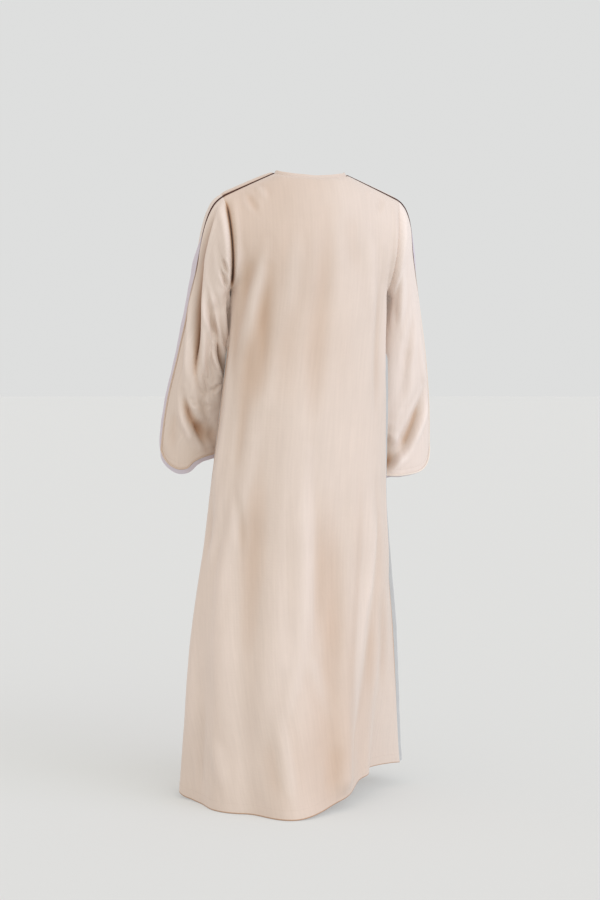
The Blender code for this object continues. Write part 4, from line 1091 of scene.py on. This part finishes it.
# ---- materials
def feed(tree, made, inputs):
    """Gives a node its inputs, each a socket to link or a plain value."""
    for name, value in inputs.items():
        if isinstance(value, bpy.types.NodeSocket):
            tree.links.new(value, made.inputs[name])
        else:
            made.inputs[name].default_value = value


def node(tree, kind, inputs, **settings):
    made = tree.nodes.new("ShaderNode" + kind)
    for name, value in settings.items():
        setattr(made, name, value)
    feed(tree, made, inputs)
    return made


def material(name):
    made = bpy.data.materials.new(name)
    made.use_nodes = True
    tree = made.node_tree
    tree.nodes.clear()
    shader = node(tree, "BsdfPrincipled", {})
    node(tree, "OutputMaterial", {"Surface": shader.outputs["BSDF"]})
    return made, tree, shader


def on_cloth(tree):
    return node(tree, "UVMap", {}, uv_map="cloth_metres").outputs["UV"]


def noise(tree, where, scale, detail=2, stretch=(1, 1, 1)):
    """A noise texture on the cloth's own metres, waves per metre."""
    place = node(tree, "Mapping", {"Vector": where, "Scale": [scale * s for s in stretch]}).outputs["Vector"]
    return node(tree, "TexNoise", {"Vector": place, "Scale": 1, "Detail": detail}).outputs["Fac"]


def ramp(tree, value, stops):
    made = node(tree, "ValToRGB", {"Fac": value})
    elements = made.color_ramp.elements
    elements[0].position, elements[0].color = stops[0]
    elements[1].position, elements[1].color = stops[-1]
    for at, colour in stops[1:-1]:
        elements.new(at).color = colour
    return made.outputs["Color"]


def maths(tree, kind, *values):
    return node(tree, "Math", dict(enumerate(values)), operation=kind).outputs[0]


def bumps(tree, *heights):
    """A shader's normal from heights and the depth of each in metres, one on another."""
    normal = {}
    for height, depth in heights:
        made = node(tree, "Bump", {"Strength": 1, "Distance": depth, "Height": height, **normal})
        normal = {"Normal": made.outputs["Normal"]}
    return normal


def weave(tree, where, per_metre):
    """Fine plain-weave threads, one wave across and one along."""
    inputs = {"Vector": where, "Scale": per_metre / 20, "Distortion": 1.2, "Detail": 1, "Detail Scale": 2}
    waves = (node(tree, "TexWave", inputs, bands_direction=way) for way in "XY")
    return maths(tree, "ADD", *(wave.outputs["Fac"] for wave in waves))


def shade(colour, factor):
    return *(c * factor for c in colour), 1


# Depth in metres of the crepe's wrinkles, smaller wrinkles, slub threads and weave
CREPE_BUMPS = (0.0011, 0.00028, 0.00008, 0.00003)


def cloth_material(name, colour, threads, slub, roughness, sheen, crease, spread):
    """Fine crepe: slub threads and slow tone changes, a weave, small soft wrinkles, a low sheen, and each
    point's painted light and shade.
    """
    made, tree, shader = material(name)
    where = on_cloth(tree)
    slubs = noise(tree, where, slub, 3, (1, 0.05, 1))
    picks = noise(tree, where, slub, 2, (0.06, 1, 1))
    clouds = noise(tree, where, 7, 3)
    total = maths(tree, "MULTIPLY", slubs, 0.45)
    for value, share in ((picks, 0.06), (clouds, 0.46)):
        total = maths(tree, "MULTIPLY_ADD", value, share, total)
    stops = [(at, shade(colour, 1 + k * spread)) for at, k in ((0.32, -1), (0.5, 0), (0.68, 1))]
    tone = ramp(tree, total, stops)
    # Painted light and shade: each point's value picks a tint, darker in troughs, tucks, seams and at the
    # hem, lighter on ridges, on the right sleeve and on parts of the body
    painted_light_values = node(tree, "Attribute", {}, attribute_name="painted_light").outputs["Fac"]
    place = node(tree, "MapRange", {"Value": painted_light_values, "From Min": PAINTED_LIGHT_LOW, "From Max": PAINTED_LIGHT_HIGH})
    stops = [((at - PAINTED_LIGHT_LOW) / (PAINTED_LIGHT_HIGH - PAINTED_LIGHT_LOW), shade(painted_tint, 1)) for at, *painted_tint in PAINTED_LIGHT_TONES]
    painted_tint = ramp(tree, place.outputs["Result"], stops)
    # The sockets 0, 6 and 7 are the factor and the two colours
    painted_colour = node(tree, "Mix", {0: 1, 6: tone, 7: painted_tint}, data_type="RGBA", blend_type="MULTIPLY").outputs[2]
    stops = [(at, shade((roughness + k,) * 3, 1)) for at, k in ((0.3, -0.05), (0.7, 0.05))]
    gloss = ramp(tree, clouds, stops)
    wrinkles = noise(tree, where, crease, 2, (1, 0.35, 1))
    small = noise(tree, where, crease * 3.6, 2, (1, 0.7, 1))
    threads = weave(tree, where, threads)
    feed(tree, shader, {
        "Base Color": painted_colour, "Roughness": gloss, "Specular IOR Level": 0.28,
        "Sheen Weight": sheen, "Sheen Roughness": 0.45, "Sheen Tint": (1, 0.96, 0.92, 1),
        **bumps(tree, *zip((wrinkles, small, slubs, threads), CREPE_BUMPS)),
    })
    return made


def cord_material(name, stops):
    """Twisted cotton with fine fibres, coloured by how far along it lies: stops of metres and colours."""
    made, tree, shader = material(name)
    where = on_cloth(tree)
    fibres = noise(tree, where, 900, 2, (1, 0.25, 1))
    along = node(tree, "SeparateXYZ", {"Vector": where}).outputs["Y"]
    place_along = maths(tree, "MULTIPLY_ADD", fibres, 0.05, maths(tree, "DIVIDE", along, CORD_REACH))
    feed(tree, shader, {
        "Base Color": ramp(tree, place_along, [(at / CORD_REACH, shade(colour, 1)) for at, colour in stops]),
        "Roughness": 0.7, "Sheen Weight": 0.1, "Specular IOR Level": 0.25, **bumps(tree, (fibres, 0.0001)),
    })
    return made


cloth = cloth_material("abaya_crepe", CLOTH_COLOUR, 900, 160, 0.52, 0.35, 22, 0.05)
edging = cloth_material("sleeve_edging_tape", EDGING_COLOUR, 1200, 700, 0.5, 0.1, 30, 0.03)
# Painted shade: a darker, greyer copy of the edging tape
side_edging = cloth_material("side_edging_tape_shaded", SIDE_EDGING_SHADED_COLOUR, 1200, 700, 0.5, 0.1, 30, 0.03)
binding = cloth_material("binding_crepe", CLOTH_COLOUR, 900, 160, 0.52, 0.3, 60, 0.04)
# Each sleeve cord is painted dark towards the neck, a painted shade, and the right one painted paler low
# down, a painted highlight
sleeve_cords = {
    side: cord_material(f"sleeve_cord_cotton_shaded_{side}", zip(CORD_AT, (CORD_NECK, CORD_ARM, CORD_LOW[side])))
    for side in SIDES
}
side_cord = cord_material("side_cord_cotton", ((0, CORD_SIDE), (CORD_REACH, CORD_SIDE)))
thread = cord_material("sewing_thread", ((0, THREAD_DARK), (CORD_REACH, THREAD_LIGHT)))

# ---- the cloth
body, body_out = body_forms()
sleeves = {side: sleeve_form(side) for side in SIDES}
for side, (_, sleeve_out) in sleeves.items():
    share_armhole(side, body_out, sleeve_out)

shown = {}
for panel, grid in body.items():
    push, painted_light = body_push(panel, grid)
    out = body_out[panel]
    shown[panel] = grid + out * push[..., None]
    cloth_piece(panel, shown[panel], shown[panel] - out * THICKNESS, painted_light)

whole_sleeves = {}
for side, (whole, out) in sleeves.items():
    halves = {"front": np.s_[:, : UPPER_ROWS + 1], "back": np.s_[:, UPPER_ROWS:]}
    (front_push, front_painted_light), (back_push, back_painted_light) = (
        sleeve_push(side, face, whole[part]) for face, part in halves.items()
    )
    push = np.concatenate([front_push, back_push[:, 1:]], axis=1)
    outer = whole_sleeves[side] = whole + out * push[..., None]
    inner = outer - out * THICKNESS
    for (face, part), painted_light in zip(halves.items(), (front_painted_light, back_painted_light)):
        cloth_piece(f"sleeve_{side}_{face}", outer[part], inner[part], painted_light)

# ---- cords and edgings
# The overarm seam's column in a whole sleeve, and how many points beside a seam its cloth is read
OVERARM = UPPER_ROWS
BESIDE = 5
OUT_BESIDE = 3
for side, outer in whole_sleeves.items():
    out, back = sleeves[side][1], shown["back"]
    cuff, beside, cuff_out = outer[-1, OVERARM + 1 :], outer[-BESIDE, OVERARM + 1 :], out[-1, OVERARM + 1 :]
    path = np.vstack([outer[:, OVERARM], cuff])
    planes = [
        seam_planes(
            path, np.vstack([outer[:, OVERARM + k], inside]), np.vstack([out[:, OVERARM + j], cuff_out])
        )
        for k, j, inside in ((BESIDE, OUT_BESIDE, beside), (-BESIDE, -OUT_BESIDE, 2 * cuff - beside))
    ]
    run = np.s_[BACK_SHOULDER:0:-1] if side == "left" else np.s_[-BACK_SHOULDER - 1 : -1]
    shoulder = seam_planes(back[-1, run], back[-BESIDE, run], body_out["back"][-1, run])
    rows = np.vstack([np.hstack([back[-1, run], *shoulder]), np.hstack([path, *planes[0]])])
    cord_piece(f"sleeve_cord_{side}", rows, sleeve_cords[side])

    start = np.nonzero(path[:, 2] < SLEEVE_STRIP_TOP[side])[0][0]
    corner = len(outer) - start
    length = lengths(path[start:])
    turn = np.where(np.arange(len(length)) < corner, SLEEVE_STRIP_TURN, 0)
    folded = FOLDED_FORWARD[side] * ease((length - FOLDED_FROM) / FOLDED_WITHIN)
    at_cuff = ease((length - length[corner] + FOLDED_WITHIN / 2) / FOLDED_WITHIN)
    folded = folded + (CUFF_FOLDED_FORWARD[side] - folded) * at_cuff
    strip = strip_rows(path[start:], *([v[start:] for v in plane] for plane in planes), turn, folded)
    grown = ease(length / SLEEVE_STRIP_TAPER)
    tape_piece(f"sleeve_edging_{side}", strip, grown, length, edging, SLEEVE_TAPE_SEED + len(side))

low = np.s_[: LOWER_ROWS + 1]
for side, edge in EDGE.items():
    beside = BESIDE - 1 if edge == 0 else -BESIDE
    seam, outside = shown["back"][low, edge], body_out["back"][low, edge]
    kept = np.s_[: np.nonzero(seam[:, 2] > SIDE_STRIP_TOP)[0][0]]
    planes = [
        [v[kept] for v in seam_planes(seam, inside, outside)]
        for inside in (shown["back"][low, beside], shown[f"front_{side}"][low, BESIDE - 1])
    ]
    seam = seam[kept]
    cord_piece(f"side_cord_{side}", np.hstack([seam, *planes[0]]), side_cord)
    height = seam[:, 2]
    strip = strip_rows(seam, *planes, smooth(SIDE_STRIP_TURN["height"], SIDE_STRIP_TURN[side], height))
    grown = ease((height[-1] - height) / SIDE_STRIP_TAPER)
    tape_piece(f"side_edging_{side}", strip, grown, lengths(seam), side_edging, SIDE_TAPE_SEED + len(side))

# ---- neck binding
left, right = (shown[f"front_{side}"][-1, FRONT_SHOULDER:] for side in SIDES)
neck = np.vstack([left[::-1], shown["back"][-1, BACK_SHOULDER + 1 : -BACK_SHOULDER - 1], right])
inwards = unit(-neck * LEVEL)
out = unit(UP * math.cos(BINDING_TILT) + inwards * math.sin(BINDING_TILT))
across = unit(UP * math.sin(BINDING_TILT) - inwards * math.cos(BINDING_TILT))
rows = np.hstack([neck - across * THICKNESS / 2, inwards, across])
widths = np.full(len(neck), BINDING_HEIGHT)
piece = flat_tape("neck_binding_band", rows, out, widths, binding, BINDING_SEED)
placed(piece, "neck_binding", "cloth", flat=(BINDING_HEIGHT, float(lengths(neck)[-1])))

# ---- stitching
for panel, grid in shown.items():
    sew(f"{panel}_hem_stitches", grid, body_out[panel], "first_row", HEM_FOLD)
    if panel != "back":
        sew(f"{panel}_edge_stitches", grid, body_out[panel], "last_column", FRONT_FOLD)
for side, outer in whole_sleeves.items():
    sew(f"cuff_{side}_stitches", outer, sleeves[side][1], "last_row", CUFF_FOLD)

# ---- camera, floor and light
scene = bpy.context.scene
camera = bpy.data.objects.new("camera", bpy.data.cameras.new("camera"))
scene.collection.objects.link(camera)
scene.camera = camera
turn = math.radians(CAMERA_AZIMUTH)
towards = Vector((math.sin(turn), -math.cos(turn), 0))
rightwards = Vector((math.cos(turn), math.sin(turn), 0))
camera.location = towards * CAMERA_DISTANCE + Vector((0, 0, CAMERA_HEIGHT - ORIGIN_HEIGHT))
camera.rotation_euler = (-towards).to_track_quat("-Z", "Y").to_euler()
camera.data.sensor_fit = "VERTICAL"
camera.data.sensor_height = camera.data.sensor_width = CAMERA_SENSOR
camera.data.lens = CAMERA_LENS
camera.data.shift_x, camera.data.shift_y = CAMERA_SHIFT

turns = [2 * math.pi * k / FLOOR_SPOKES for k in range(FLOOR_SPOKES)]
points = [(0, 0)] + [(radius * math.cos(a), radius * math.sin(a)) for radius in FLOOR_RINGS for a in turns]
faces = []
for k in range(FLOOR_SPOKES):
    a, b = 1 + k, 1 + (k + 1) % FLOOR_SPOKES
    faces.append((0, a, b))
    for ring in range(len(FLOOR_RINGS) - 1):
        faces.append((a, a + FLOOR_SPOKES, b + FLOOR_SPOKES, b))
        a, b = a + FLOOR_SPOKES, b + FLOOR_SPOKES
mesh = bpy.data.meshes.new("studio_floor")
mesh.from_pydata([(x, y, -ORIGIN_HEIGHT) for x, y in points], [], faces)
mesh.polygons.foreach_set("use_smooth", [True] * len(mesh.polygons))
floor = bpy.data.objects.new("studio_floor", mesh)
scene.collection.objects.link(floor)
paper, tree, shader = material("studio_paper")
grain = noise(tree, node(tree, "TexCoord", {}).outputs["Object"], 300)
stops = [(at, shade(FLOOR_COLOUR, (1 - FLOOR_GLOW) * tone)) for at, tone in PAPER_TONES]
feed(tree, shader, {
    "Base Color": ramp(tree, grain, stops), "Emission Color": shade(FLOOR_COLOUR, 1),
    "Emission Strength": FLOOR_GLOW * FLOOR_SEEN, "Roughness": 0.9, "Specular IOR Level": 0.1,
})
mesh.materials.append(paper)

world = bpy.data.worlds.new("studio")
scene.world = world
world.use_nodes = True
background = world.node_tree.nodes["Background"]
feed(world.node_tree, background, {"Color": shade(WORLD_COLOUR, 1), "Strength": WORLD_STRENGTH})
for name, way, wide, strength, colour in LIGHTS:
    light = bpy.data.lights.new(name, "SUN")
    light.angle = math.radians(wide)
    light.energy = strength
    light.color = colour
    lamp = bpy.data.objects.new(name, light)
    comes_from = rightwards * way[0] + towards * way[1] + Vector((0, 0, way[2]))
    lamp.rotation_euler = comes_from.to_track_quat("Z", "Y").to_euler()
    scene.collection.objects.link(lamp)
scene.view_settings.view_transform = "Standard"
